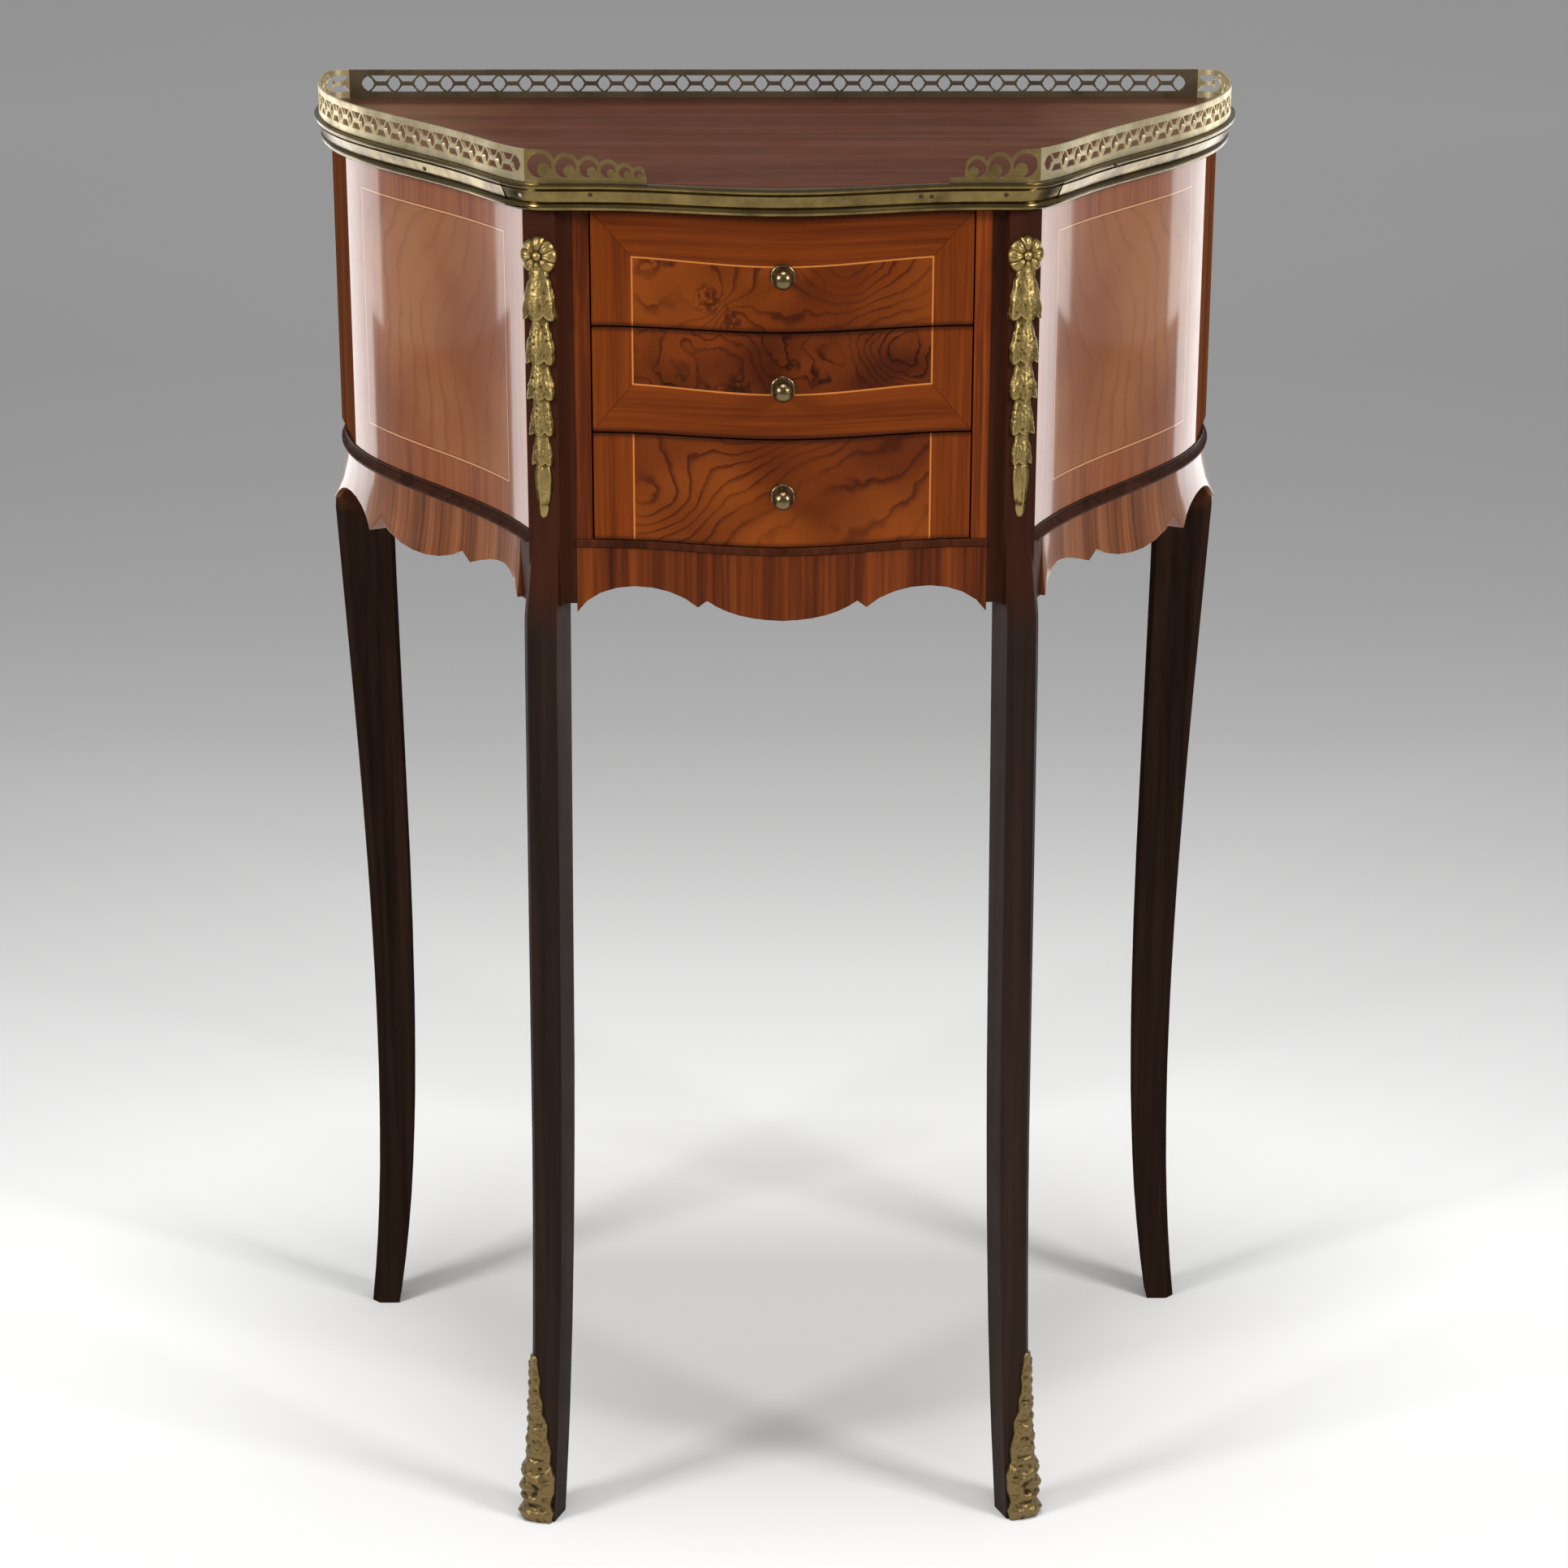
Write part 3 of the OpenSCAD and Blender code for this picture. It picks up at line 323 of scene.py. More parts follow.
# Straight grain: broad and fine streaks along the grain. grain gives how many fine
# streaks there are to the metre along each axis, so 500 are 2 mm apart
def straightFigure(tree, plane, grain, look):
    placed = add(tree, "Mapping", {"Vector": plane, "Location": look["shift"], "Scale": grain})
    broad = add(tree, "TexNoise", {
        "Vector": placed, "Scale": 0.22, "Detail": 2, "Roughness": 0.5, "Distortion": 0.5})
    fine = add(tree, "TexNoise", {
        "Vector": placed, "Scale": 1.0, "Detail": 4, "Roughness": 0.62, "Distortion": 0.2})
    half = add(tree, "Math", {0: broad, 1: 0.5}, operation="MULTIPLY")
    tone = add(tree, "Math", {0: fine, 1: 0.5, 2: half}, operation="MULTIPLY_ADD")
    ramp = add(tree, "ValToRGB", {0: tone})
    stops = ramp.node.color_ramp.elements
    stops[0].position, stops[0].color = look["low"], linear(look["dark"])
    stops[1].position, stops[1].color = look["high"], linear(look["light"])
    stops.new((look["low"] + look["high"]) / 2).color = linear(look["mid"])
    return ramp, fine


# The flat plane that a front is seen in: across and up, without its bow
def frontPlane(tree):
    spot = add(tree, "TexCoord", out=3)
    across = add(tree, "SeparateXYZ", {0: spot}, out=0)
    up = across.node.outputs[2]
    return add(tree, "CombineXYZ", {0: across, 2: up}), across, up


# The side's own plane: along the curve and up, as the veneer lies on the bench
def sidePlane(tree):
    spot = add(tree, "UVMap", uv_map="laid flat")
    along = add(tree, "SeparateXYZ", {0: spot}, out=0)
    up = along.node.outputs[1]
    return add(tree, "CombineXYZ", {0: along, 2: up}), along, up


# Shellac over wood: uneven gloss, open pores and ripples a few centimetres long
def polish(tree, colour, pores, look):
    spot = add(tree, "TexCoord", out=3)
    wearAndSheenNoise = add(tree, "TexNoise", {"Vector": spot, "Scale": 38.0, "Detail": 4, "Roughness": 0.6})
    rough = add(tree, "MapRange", {
        0: wearAndSheenNoise, 1: 0.3, 2: 0.7, 3: look["gloss"][0], 4: look["gloss"][1]})
    ripple = add(tree, "TexNoise", {"Vector": spot, "Scale": look["ripple"], "Detail": 1.0})
    ripple = add(tree, "Math", {0: ripple, 1: look["rippleDepth"]}, operation="MULTIPLY")
    relief = add(tree, "Math", {0: pores, 1: look["grainDepth"], 2: ripple}, operation="MULTIPLY_ADD")
    bump = add(tree, "Bump", {"Strength": 1.0, "Distance": 0.001, "Height": relief})
    shader = add(tree, "BsdfPrincipled", {
        "Base Color": colour, "Roughness": rough, "Normal": bump,
        "IOR": 1.5, "Specular IOR Level": look["shine"],
        "Coat Weight": look["coat"], "Coat Roughness": look["coatRough"], "Coat IOR": 1.5})
    add(tree, "OutputMaterial", {"Surface": shader})


frenchPolish = {"gloss": (0.32, 0.44), "ripple": 22.0, "rippleDepth": 0.3, "grainDepth": -0.02,
    "shine": 0.08, "coat": 0.0, "coatRough": 0.16}

# The sides kept a glassy polish, with soft ripples in it
sidePolish = {**frenchPolish, "shine": 0.12, "gloss": (0.3, 0.4), "coat": 0.75, "coatRough": 0.075,
    "ripple": 16.0, "rippleDepth": 0.7}

# Lengths in millimetres. half and line place the string, side and outer the front's edges,
# and a knot has its place across and up, its reach and its strength
drawerLook = {
    # The darkest colour here is painted shade, laid near each front's top and bottom edges as if cast
    # by the gaps between drawers
    "half": 78.0, "side": 99.2, "string": 0.44, "stringColour": "#c07436", "sag": 2.7, "bow": 100.0,
    "seam": 0.22, "seamColour": "#2a1008", "grime": "#240d04", "grimeReach": 3.2,
    "band": {"light": "#7d390e", "mid": "#6f310b", "dark": "#592408", "low": 0.36, "high": 0.66},
    "burl": {"twist": 0.6, "line": 0.9, "wobble": 0.45, "largeKnot": 13},
    "top": {"line": 734.4, "outer": 758.0, "shift": (0.31, 0, 0.12),
        "light": "#833f10", "mid": "#622909", "dark": "#3f1707",
        "swirl": 11.0, "slope": (-30, 0, 90), "turns": 7.0, "waves": 1.8,
        "knots": [(-38, 714, 10, 2.4), (-26, 704, 9, -1.8), (34, 738, 24, 4.0)]},
    "middle": {"line": 667.6, "outer": 641.9, "shift": (1.7, 0, 0.4),
        "light": "#6f310c", "mid": "#451a06", "dark": "#210a03",
        "swirl": 17.0, "slope": (20, 0, 50), "turns": 11.0, "waves": 2.6,
        "knots": [(-52, 676, 14, 2.4), (60, 684, 17, 3.0), (-5, 690, 16, 3.0)]},
    "bottom": {"line": None, "shift": (2.9, 0, 0.9),
        "light": "#833f10", "mid": "#5c2609", "dark": "#3f1707",
        "swirl": 9.0, "slope": (-50, 0, 60), "turns": 5.5, "waves": 1.5,
        "knots": [(-14, 656, 24, 4.4), (20, 658, 20, 3.4), (-66, 600, 26, 3.0)]},
}


# Drawer front: a figured leaf in a thin boxwood string, inside straight crossbands that
# are mitred where two meet. It looks warm red brown, with dark rings that wander, and
# painted shade darkens it along its top and bottom edges
def drawerVeneer(which, look):
    made, tree = blank("drawer veneer " + which)
    own = look[which]
    half, thick = look["half"] * mm, look["string"] * mm
    plane, across, up = frontPlane(tree)
    side = add(tree, "Math", {0: across}, operation="ABSOLUTE")
    past = add(tree, "Math", {0: side, 1: half}, operation="SUBTRACT")
    leaf, pores = burlFigure(tree, plane, {**own, **look["burl"]})
    band = {**look["band"], "shift": own["shift"]}
    upright = straightFigure(tree, plane, (520, 1, 14), band)[0]
    beyond = add(tree, "Math", {0: side, 1: half}, operation="GREATER_THAN")
    colour = add(tree, "Mix", {0: beyond, 6: leaf, 7: upright}, **colourMix)
    gap = add(tree, "Math", {0: past}, operation="ABSOLUTE")
    string = add(tree, "Math", {0: gap, 1: thick}, operation="LESS_THAN")
    if own["line"]:   # A front with a level band, whose string sags with the bow
        level = straightFigure(tree, plane, (12, 1, 520), band)[0]
        turn = add(tree, "Math", {0: across, 1: math.pi / (look["bow"] * mm)}, operation="MULTIPLY")
        turn = add(tree, "Math", {0: turn}, operation="COSINE")
        sag = look["sag"] * mm / 2
        drop = add(tree, "Math", {0: turn, 1: sag, 2: sag}, operation="MULTIPLY_ADD")
        rise = add(tree, "Math", {0: up, 1: drop}, operation="ADD")
        rise = add(tree, "Math", {0: rise, 1: own["line"] * mm}, operation="SUBTRACT")
        sense = 1.0 if own["outer"] > own["line"] else -1.0
        rise = add(tree, "Math", {0: rise, 1: sense}, operation="MULTIPLY")
        slope = abs(own["outer"] - own["line"]) / (look["side"] - look["half"])
        past = add(tree, "Math", {0: past, 1: 0.0}, operation="MAXIMUM")
        past = add(tree, "Math", {0: past, 1: slope}, operation="MULTIPLY")
        overMitre = add(tree, "Math", {0: rise, 1: past}, operation="SUBTRACT")
        flat = add(tree, "Math", {0: overMitre, 1: 0.0}, operation="GREATER_THAN")
        colour = add(tree, "Mix", {0: flat, 6: colour, 7: level}, **colourMix)
        seam = add(tree, "Math", {0: overMitre}, operation="ABSOLUTE")
        seam = add(tree, "Math", {0: seam, 1: look["seam"] * mm}, operation="LESS_THAN")
        seam = add(tree, "Math", {0: seam, 1: beyond}, operation="MULTIPLY")
        seam = add(tree, "Math", {0: seam, 1: 0.85}, operation="MULTIPLY")
        colour = add(tree, "Mix", {0: seam, 6: colour, 7: linear(look["seamColour"])}, **colourMix)
        inside = add(tree, "Math", {0: rise, 1: thick}, operation="LESS_THAN")
        string = add(tree, "Math", {0: string, 1: inside}, operation="MULTIPLY")
        gap = add(tree, "Math", {0: rise}, operation="ABSOLUTE")
        flatString = add(tree, "Math", {0: gap, 1: thick}, operation="LESS_THAN")
        within = add(tree, "Math", {0: side, 1: half + thick}, operation="LESS_THAN")
        flatString = add(tree, "Math", {0: flatString, 1: within}, operation="MULTIPLY")
        string = add(tree, "Math", {0: string, 1: flatString}, operation="MAXIMUM")
    colour = add(tree, "Mix", {0: string, 6: colour, 7: linear(look["stringColour"])}, **colourMix)
    # Painted shade: the front darkens towards its top and bottom edges, as the gaps between the drawers
    # would shade them
    low, high = (end.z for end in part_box("drawer_" + which + "_front"))
    above = add(tree, "Math", {0: up, 1: low}, operation="SUBTRACT")
    below = add(tree, "Math", {0: high, 1: up}, operation="SUBTRACT")
    edge = add(tree, "Math", {0: above, 1: below}, operation="MINIMUM")
    grime = add(tree, "MapRange", {0: edge, 1: 0.0, 2: look["grimeReach"] * mm, 3: 0.75, 4: 0.0},
        interpolation_type="SMOOTHSTEP")
    colour = add(tree, "Mix", {0: grime, 6: colour, 7: linear(look["grime"])}, **colourMix)
    polish(tree, colour, pores, frenchPolish)
    return made


# Lengths in millimetres along the side from its front edge, and heights
sideLook = {
    "from": 28.0, "to": 193.0, "low": 608.0, "high": 742.0,
    "string": 0.45, "stringColour": "#cb8f5e", "edgeColour": "#66351b",
    # The leaf and band colours are painted paler than the drawers' veneer, as a painted sheen on the
    # sides
    "leaf": {"shift": (0.4, 0, 3.1), "swirl": 7.0, "twist": 0.5, "turns": 5.0, "waves": 1.2,
        "wobble": 0.45, "slope": (60, 0, 12), "knots": [], "line": 0.3,
        "light": "#965c34", "mid": "#824826", "dark": "#5a2c14"},
    "band": {"shift": (0.2, 0, 0.3), "light": "#9a5c36", "mid": "#874a28", "dark": "#6a361a",
        "low": 0.3, "high": 0.72},
}


# Side panel: a quieter leaf inside a string frame, with bands round it. Its colours are the
# fronts' timber painted paler, a painted sheen, and its glassy polish mirrors the bright boards
def sideVeneer(p):
    made, tree = blank("side veneer")
    plane, along, up = sidePlane(tree)
    leaf, pores = burlFigure(tree, plane, p["leaf"])
    upright = straightFigure(tree, plane, (430, 1, 12), p["band"])[0]
    gaps = []
    for spot, low, high in ((along, p["from"], p["to"]), (up, p["low"], p["high"])):
        off = add(tree, "Math", {0: spot, 1: (low + high) / 2 * mm}, operation="SUBTRACT")
        off = add(tree, "Math", {0: off}, operation="ABSOLUTE")
        gaps.append(add(tree, "Math", {0: off, 1: (high - low) / 2 * mm}, operation="SUBTRACT"))
    outside = add(tree, "Math", {0: gaps[0], 1: gaps[1]}, operation="MAXIMUM")
    beyond = add(tree, "Math", {0: outside, 1: 0.0}, operation="GREATER_THAN")
    colour = add(tree, "Mix", {0: beyond, 6: leaf, 7: upright}, **colourMix)
    gap = add(tree, "Math", {0: outside}, operation="ABSOLUTE")
    # The wider, darker band drawn first is a painted shadow line along each side of the string
    for reach, paint in ((p["string"] * 2, p["edgeColour"]), (p["string"], p["stringColour"])):
        line = add(tree, "Math", {0: gap, 1: reach * mm}, operation="LESS_THAN")
        colour = add(tree, "Mix", {0: line, 6: colour, 7: linear(paint)}, **colourMix)
    polish(tree, colour, pores, sidePolish)
    return made


# Crossbanding: short lengths of striped veneer laid with the grain upright
def crossBand(name, onSide, look):
    made, tree = blank(name)
    plane = sidePlane(tree)[0] if onSide else frontPlane(tree)[0]
    colour, pores = straightFigure(tree, plane, (330, 1, 9), look)
    polish(tree, colour, pores, sidePolish if onSide else frenchPolish)
    return made


# Stile beside the drawers: a dark outer half and a striped, lighter inner half
def stileVeneer(look):
    made, tree = blank("stile veneer")
    plane, across = frontPlane(tree)[:2]
    colour, pores = straightFigure(tree, plane, (330, 1, 9), look)
    side = add(tree, "Math", {0: across}, operation="ABSOLUTE")
    outer = add(tree, "MapRange", {
        0: side, 1: look["split"] * mm, 2: (look["split"] + look["blur"]) * mm})
    outer = add(tree, "Math", {0: outer, 1: 0.85}, operation="MULTIPLY")
    colour = add(tree, "Mix", {0: outer, 6: colour, 7: linear(look["outer"])}, **colourMix)
    polish(tree, colour, pores, frenchPolish)
    return made


# Stained beech or walnut, nearly black with red streaks. Posts with an upper look are
# browner above the aprons
def stainedWood(name, look):
    made, tree = blank(name)
    spot = add(tree, "TexCoord", out=3)
    colour, pores = straightFigure(tree, spot, (300, 300, 7), look)
    if "upper" in look:
        up = add(tree, "SeparateXYZ", {0: spot}, out=2)
        above = add(tree, "MapRange", {0: up, 1: look["fadeFrom"] * mm, 2: look["fadeTo"] * mm})
        upper = straightFigure(tree, spot, (190, 190, 8), {**look, **look["upper"]})[0]
        colour = add(tree, "Mix", {0: above, 6: colour, 7: upper}, **colourMix)
    polish(tree, colour, pores, {**frenchPolish, "gloss": look["gloss"], "shine": look["shine"]})
    return made


# Mahogany top, a satin polish gone uneven with wear, its grain running across the table.
# Its ends are painted paler as a painted sheen, and a painted shadow of the gallery darkens
# it along the back
def mahoganyTop(look):
    made, tree = blank("mahogany top")
    spot = add(tree, "TexCoord", out=3)
    colour, pores = straightFigure(tree, spot, (9, 210, 210), look)
    across = add(tree, "SeparateXYZ", {0: spot}, out=0)
    deep = across.node.outputs[1]
    # This noise makes the edge of the painted sheen at both ends wander
    wearAndSheenNoise = add(tree, "TexNoise", {"Vector": spot, "Scale": 14.0, "Detail": 3})
    side = add(tree, "Math", {0: across}, operation="ABSOLUTE")
    side = add(tree, "Math", {0: wearAndSheenNoise, 1: look["wander"] * mm, 2: side}, operation="MULTIPLY_ADD")
    pale = add(tree, "MapRange", {
        0: side, 1: look["paleFrom"] * mm, 2: look["paleTo"] * mm, 4: 0.45})
    colour = add(tree, "Mix", {0: pale, 6: colour, 7: linear(look["pale"])}, **colourMix)
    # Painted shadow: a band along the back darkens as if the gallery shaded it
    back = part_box("gallery_back")[0].y
    far, near = look["shadeReach"]
    shade = add(tree, "MapRange", {0: deep, 1: back - far * mm, 2: back - near * mm, 4: 0.7})
    colour = add(tree, "Mix", {0: shade, 6: colour, 7: linear(look["backShade"])}, **colourMix)
    polish(tree, colour, pores, {**frenchPolish, "gloss": (0.36, 0.48), "shine": 0.05,
        "rippleDepth": 0.2})
    return made


# Pine and poplar inside the case, bare and dry, so matt and pale
def bareWood(name, light, middle, dark, grain):
    made, tree = blank(name)
    spot = add(tree, "TexCoord", out=3)
    look = {"shift": (0.3, 0.1, 0.2), "light": light, "mid": middle, "dark": dark, "low": 0.32,
        "high": 0.66}
    colour, pores = straightFigure(tree, spot, grain, look)
    bump = add(tree, "Bump", {"Strength": 0.5, "Distance": 0.0004, "Height": pores})
    shader = add(tree, "BsdfPrincipled", {"Base Color": colour, "Roughness": 0.62, "Normal": bump})
    add(tree, "OutputMaterial", {"Surface": shader})
    return made


# Metals

# Bare metal that turns from its light to its dark colour, with a low relief
def metalSurface(tree, dull, rough, relief, look):
    colour = add(tree, "Mix", {0: dull, 6: linear(look["light"]), 7: linear(look["dark"])}, **colourMix)
    bump = add(tree, "Bump", {"Strength": look["bump"], "Distance": 0.0005, "Height": relief})
    shader = add(tree, "BsdfPrincipled", {
        "Base Color": colour, "Metallic": look["metal"], "Roughness": rough, "Normal": bump})
    add(tree, "OutputMaterial", {"Surface": shader})


# Drawn or pierced brass under old lacquer: blotches about 20 mm wide and fine drawn
# lines along the length, which blur what it mirrors
def drawnBrass(name, look):
    made, tree = blank(name)
    spot = add(tree, "TexCoord", out=3)
    blotch = add(tree, "TexNoise", {"Vector": spot, "Scale": 45.0, "Detail": 5, "Roughness": 0.65})
    drawn = add(tree, "Mapping", {"Vector": spot, "Scale": (18, 18, 1500)})
    lines = add(tree, "TexNoise", {"Vector": drawn, "Scale": 1.0, "Detail": 2})
    dull = add(tree, "MapRange", {0: blotch, 1: 0.35, 2: 0.68})
    rough = add(tree, "MapRange", {
        0: blotch, 1: 0.3, 2: 0.7, 3: look["gloss"][0], 4: look["gloss"][1]})
    half = add(tree, "Math", {0: blotch, 1: 0.5}, operation="MULTIPLY")
    relief = add(tree, "Math", {0: lines, 1: 0.5, 2: half}, operation="MULTIPLY_ADD")
    metalSurface(tree, dull, rough, relief, look)
    return made


# Cast metal: pitted, bright where it is rubbed and dark in its hollows, which hold grime and
# painted shade together. pits gives how many pits there are to the metre, so 560 are 1.8 mm apart
def castBronze(name, look):
    made, tree = blank(name)
    spot = add(tree, "TexCoord", out=3)
    hollow = add(tree, "Attribute", out=2, attribute_name="hollow")
    pits = add(tree, "TexNoise", {
        "Vector": spot, "Scale": look["pits"], "Detail": 3, "Roughness": 0.6})
    blotch = add(tree, "TexNoise", {"Vector": spot, "Scale": 130.0, "Detail": 4, "Roughness": 0.6})
    blotch = add(tree, "Math", {0: blotch, 1: 0.9, 2: -0.85}, operation="MULTIPLY_ADD")
    speckle = add(tree, "Math", {0: pits, 1: 0.8, 2: blotch}, operation="MULTIPLY_ADD")
    recessShadeAndSpeckle = add(tree, "Math", {0: hollow, 1: speckle}, operation="ADD")
    dull = add(tree, "MapRange", {0: recessShadeAndSpeckle, 1: 0.3, 2: 0.75})
    rough = add(tree, "MapRange", {
        0: recessShadeAndSpeckle, 1: 0.2, 2: 0.8, 3: look["gloss"][0], 4: look["gloss"][1]})
    metalSurface(tree, dull, rough, pits, look)
    return made


# What the finishes share: the striped crossband veneer and the near-black stain
stripes = {"shift": (0.7, 0, 0.3), "light": "#7a3a14", "mid": "#5d290d", "dark": "#3c180a",
    "low": 0.36, "high": 0.64}
stain = {"shift": (0.1, 0.2, 0.3), "light": "#35231a", "mid": "#271b15", "dark": "#16100c",
    "low": 0.3, "high": 0.72, "gloss": (0.42, 0.54), "shine": 0.06, "fadeFrom": 530, "fadeTo": 560}
finishes = {
    "top": mahoganyTop({"shift": (0.5, 0.1, 0.0), "light": "#5c351f", "mid": "#4b2616",
        "dark": "#391a0e", "low": 0.26, "high": 0.74, "paleFrom": 190, "paleTo": 265, "wander": 90,
        "pale": "#7c5f46", "backShade": "#2c150b", "shadeReach": (34, 20)}),
    "drawerTop": drawerVeneer("top", drawerLook),
    "drawerMiddle": drawerVeneer("middle", drawerLook),
    "drawerBottom": drawerVeneer("bottom", drawerLook),
    "side": sideVeneer(sideLook),
    # Painted paler than the front crossband, as a painted sheen on the side aprons
    "sideBand": crossBand("side crossband", True, {
        **stripes, "light": "#945c38", "mid": "#7a4525", "dark": "#552d17"}),
    # The hollow under each side stays dull and dark, so it reads as a shadow line
    "cove": stainedWood("stained side cove", {
        **stain, "light": "#4a2a1c", "mid": "#382016", "dark": "#25140d", "shine": 0.03}),
    "frontBand": crossBand("front crossband", False, stripes),
    "stile": stileVeneer({**stripes, "light": "#8a4016", "mid": "#5c270c", "dark": "#260f06",
        "shift": (3.3, 0, 1.3), "split": 107.5, "blur": 1.2, "outer": "#31130a"}),
    "leg": stainedWood("stained leg wood", {
        **stain, "upper": {"light": "#42200f", "mid": "#381a0e", "dark": "#26120a"}}),
    "backLeg": stainedWood("stained back leg wood", {
        **stain, "shine": 0.0, "gloss": (0.6, 0.7),
        "upper": {"light": "#7d4a2e", "mid": "#653821", "dark": "#472415"}}),
    # A thin red brown edge between the drawers and the apron
    "ledge": stainedWood("dark ledge wood", {
        **stain, "light": "#562a15", "mid": "#401f10", "dark": "#2a140a", "shine": 0.04}),
    "pine": bareWood("pine carcass", "#bd9263", "#ad8050", "#8a5f36", (5, 230, 230)),
    "lining": bareWood("poplar drawer lining", "#ad8354", "#9c7245", "#80572f", (6, 260, 260)),
    # Smooth and gone olive, it mirrors the lamps in long streaks
    "moulding": drawnBrass("drawn brass edge", {
        "light": "#877446", "dark": "#5a4a2e", "gloss": (0.15, 0.3), "bump": 0.12, "metal": 1.0}),
    # The side gallery is painted paler than the back gallery, a lit copy of the same brass with a
    # painted sheen
    "gallery": drawnBrass("pierced brass", {
        "light": "#e2d4ac", "dark": "#b5a57c", "gloss": (0.3, 0.45), "bump": 0.2, "metal": 0.8}),
    # The back gallery is a shaded copy of the same brass, painted darker and greyer as painted shade
    "backGallery": drawnBrass("dull pierced brass", {
        "light": "#80745e", "dark": "#544a3b", "gloss": (0.35, 0.5), "bump": 0.2, "metal": 0.9}),
    # The corner scrolls are rougher and more olive
    "scroll": drawnBrass("olive cast brass", {
        "light": "#a08a55", "dark": "#665230", "gloss": (0.28, 0.45), "bump": 0.4, "metal": 0.95}),
    # Worn gilding on the chutes, warm on the high spots, darker in the hollows with grime and painted
    # shade
    "bronze": castBronze("gilt cast bronze", {
        "light": "#a18a55", "dark": "#4f3f20", "gloss": (0.34, 0.58), "metal": 0.95,
        "pits": 560.0, "bump": 0.8}),
    # Kicked and handled sabots: browner and coarser
    "footBronze": castBronze("worn cast bronze", {
        "light": "#7d6942", "dark": "#382b1a", "gloss": (0.36, 0.65), "metal": 0.85,
        "pits": 420.0, "bump": 1.0}),
    # Nearly black heads, which show as dots on the edge
    "pin": castBronze("darkened pin", {
        "light": "#4a3a22", "dark": "#1d160d", "gloss": (0.4, 0.6), "metal": 0.8,
        "pits": 900.0, "bump": 0.6}),
    # Polished by hands, so it mirrors both lamps as small spots
    "knob": castBronze("browned knob metal", {
        "light": "#786749", "dark": "#3a2f21", "gloss": (0.18, 0.3), "metal": 0.95,
        "pits": 900.0, "bump": 0.4}),
}
print("materials are made")


# Dressing the solids: eased edges, smooth curves, veneer laid flat

def camel(name):
    words = name.split("_")
    return words[0] + "".join(w.capitalize() for w in words[1:])


def smoothAll(shape):
    for face in shape.faces:
        face.smooth = True


# Makes a shape into a piece of the table that moves with its body
def publish(shape, name, body, finish, replaced=(), weighted=False):
    piece = intoObject(shape, name, finish)
    if weighted:   # Large faces set the shading of the narrow eased edges
        even = piece.modifiers.new("even shading", "WEIGHTED_NORMAL")
        even.mode = "FACE_AREA"
        even.weight = 100
        even.keep_sharp = True
    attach(piece, body)
    if replaced:
        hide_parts(*replaced)
    return piece


easing = {"weld": 2e-6, "flat": 0.3, "hard": 28.0, "sharp": 46.0}   # Metres and degrees


# Copies a solid, eases its hard edges by a width in millimetres and shades it smoothly
def dress(node, body, finish, ease, rounds=2, laidFlat=False, p=easing):
    shape = bmesh.new()
    shape.from_mesh(nodes[node].data)
    bmesh.ops.remove_doubles(shape, verts=shape.verts, dist=p["weld"])
    bmesh.ops.dissolve_limit(shape, angle_limit=deg(p["flat"]), verts=shape.verts, edges=shape.edges)
    if ease:
        hard = [e for e in shape.edges if e.is_manifold and e.calc_face_angle() > deg(p["hard"])]
        bmesh.ops.bevel(shape, geom=hard, offset=ease * mm, offset_type="OFFSET",
            segments=rounds, profile=0.5, affect="EDGES", material=-1, clamp_overlap=True)
    smoothAll(shape)
    for edge in shape.edges:
        edge.smooth = edge.is_manifold and edge.calc_face_angle() < deg(p["sharp"])
    if laidFlat:
        laid = shape.loops.layers.uv.new("laid flat")
        for face in shape.faces:
            for loop in face.loops:
                loop[laid].uv = (alongSide(loop.vert.co), loop.vert.co.z)
    publish(shape, camel(node), body, finish, (node,), weighted=True)


sides = ("left", "right")
dress("top_board", "case", finishes["top"], 0.5)
for hand in sides:
    dress("side_panel_" + hand, "case", finishes["side"], 0.4, laidFlat=True)
    dress("side_cove_" + hand, "case", finishes["cove"], 0.0)
    dress("side_apron_" + hand, "case", finishes["sideBand"], 0.5, laidFlat=True)
    dress("front_leg_" + hand, "case", finishes["leg"], 0.9)
    dress("back_leg_" + hand, "case", finishes["backLeg"], 0.9)
    dress("stile_" + hand, "case", finishes["stile"], 0.3)
    dress("cheek_" + hand, "case", finishes["pine"], 0.3)
    dress("edge_moulding_" + hand, "case", finishes["moulding"], 0.0)
    dress("gallery_" + hand, "case", finishes["gallery"], 0.3, rounds=1)
dress("front_apron", "case", finishes["frontBand"], 0.5)
for hand in sides:
    dress("gallery_scroll_" + hand, "case", finishes["scroll"], 0.35)
dress("front_ledge", "case", finishes["ledge"], 0.5)
dress("edge_moulding_front", "case", finishes["moulding"], 0.0)
dress("gallery_back", "case", finishes["backGallery"], 0.3, rounds=1)
for board in ("back_panel", "bottom_board", "dust_board_upper", "dust_board_lower"):
    dress(board, "case", finishes["pine"], 0.4)
for drawer in ("top", "middle", "bottom"):
    body = "drawer_" + drawer
    front = "drawer" + drawer.capitalize()
    dress(body + "_front", body, finishes[front], 0.45)
    for board in ("side_left", "side_right", "back", "bottom"):
        dress(body + "_" + board, body, finishes["lining"], 0.4)
print("the wooden and drawn parts are dressed")


# Knobs

# Radii and lengths in millimetres
knobLook = {"ball": 5.5, "reach": 13.6, "neck": 2.6, "plate": 6.7, "steps": 40}


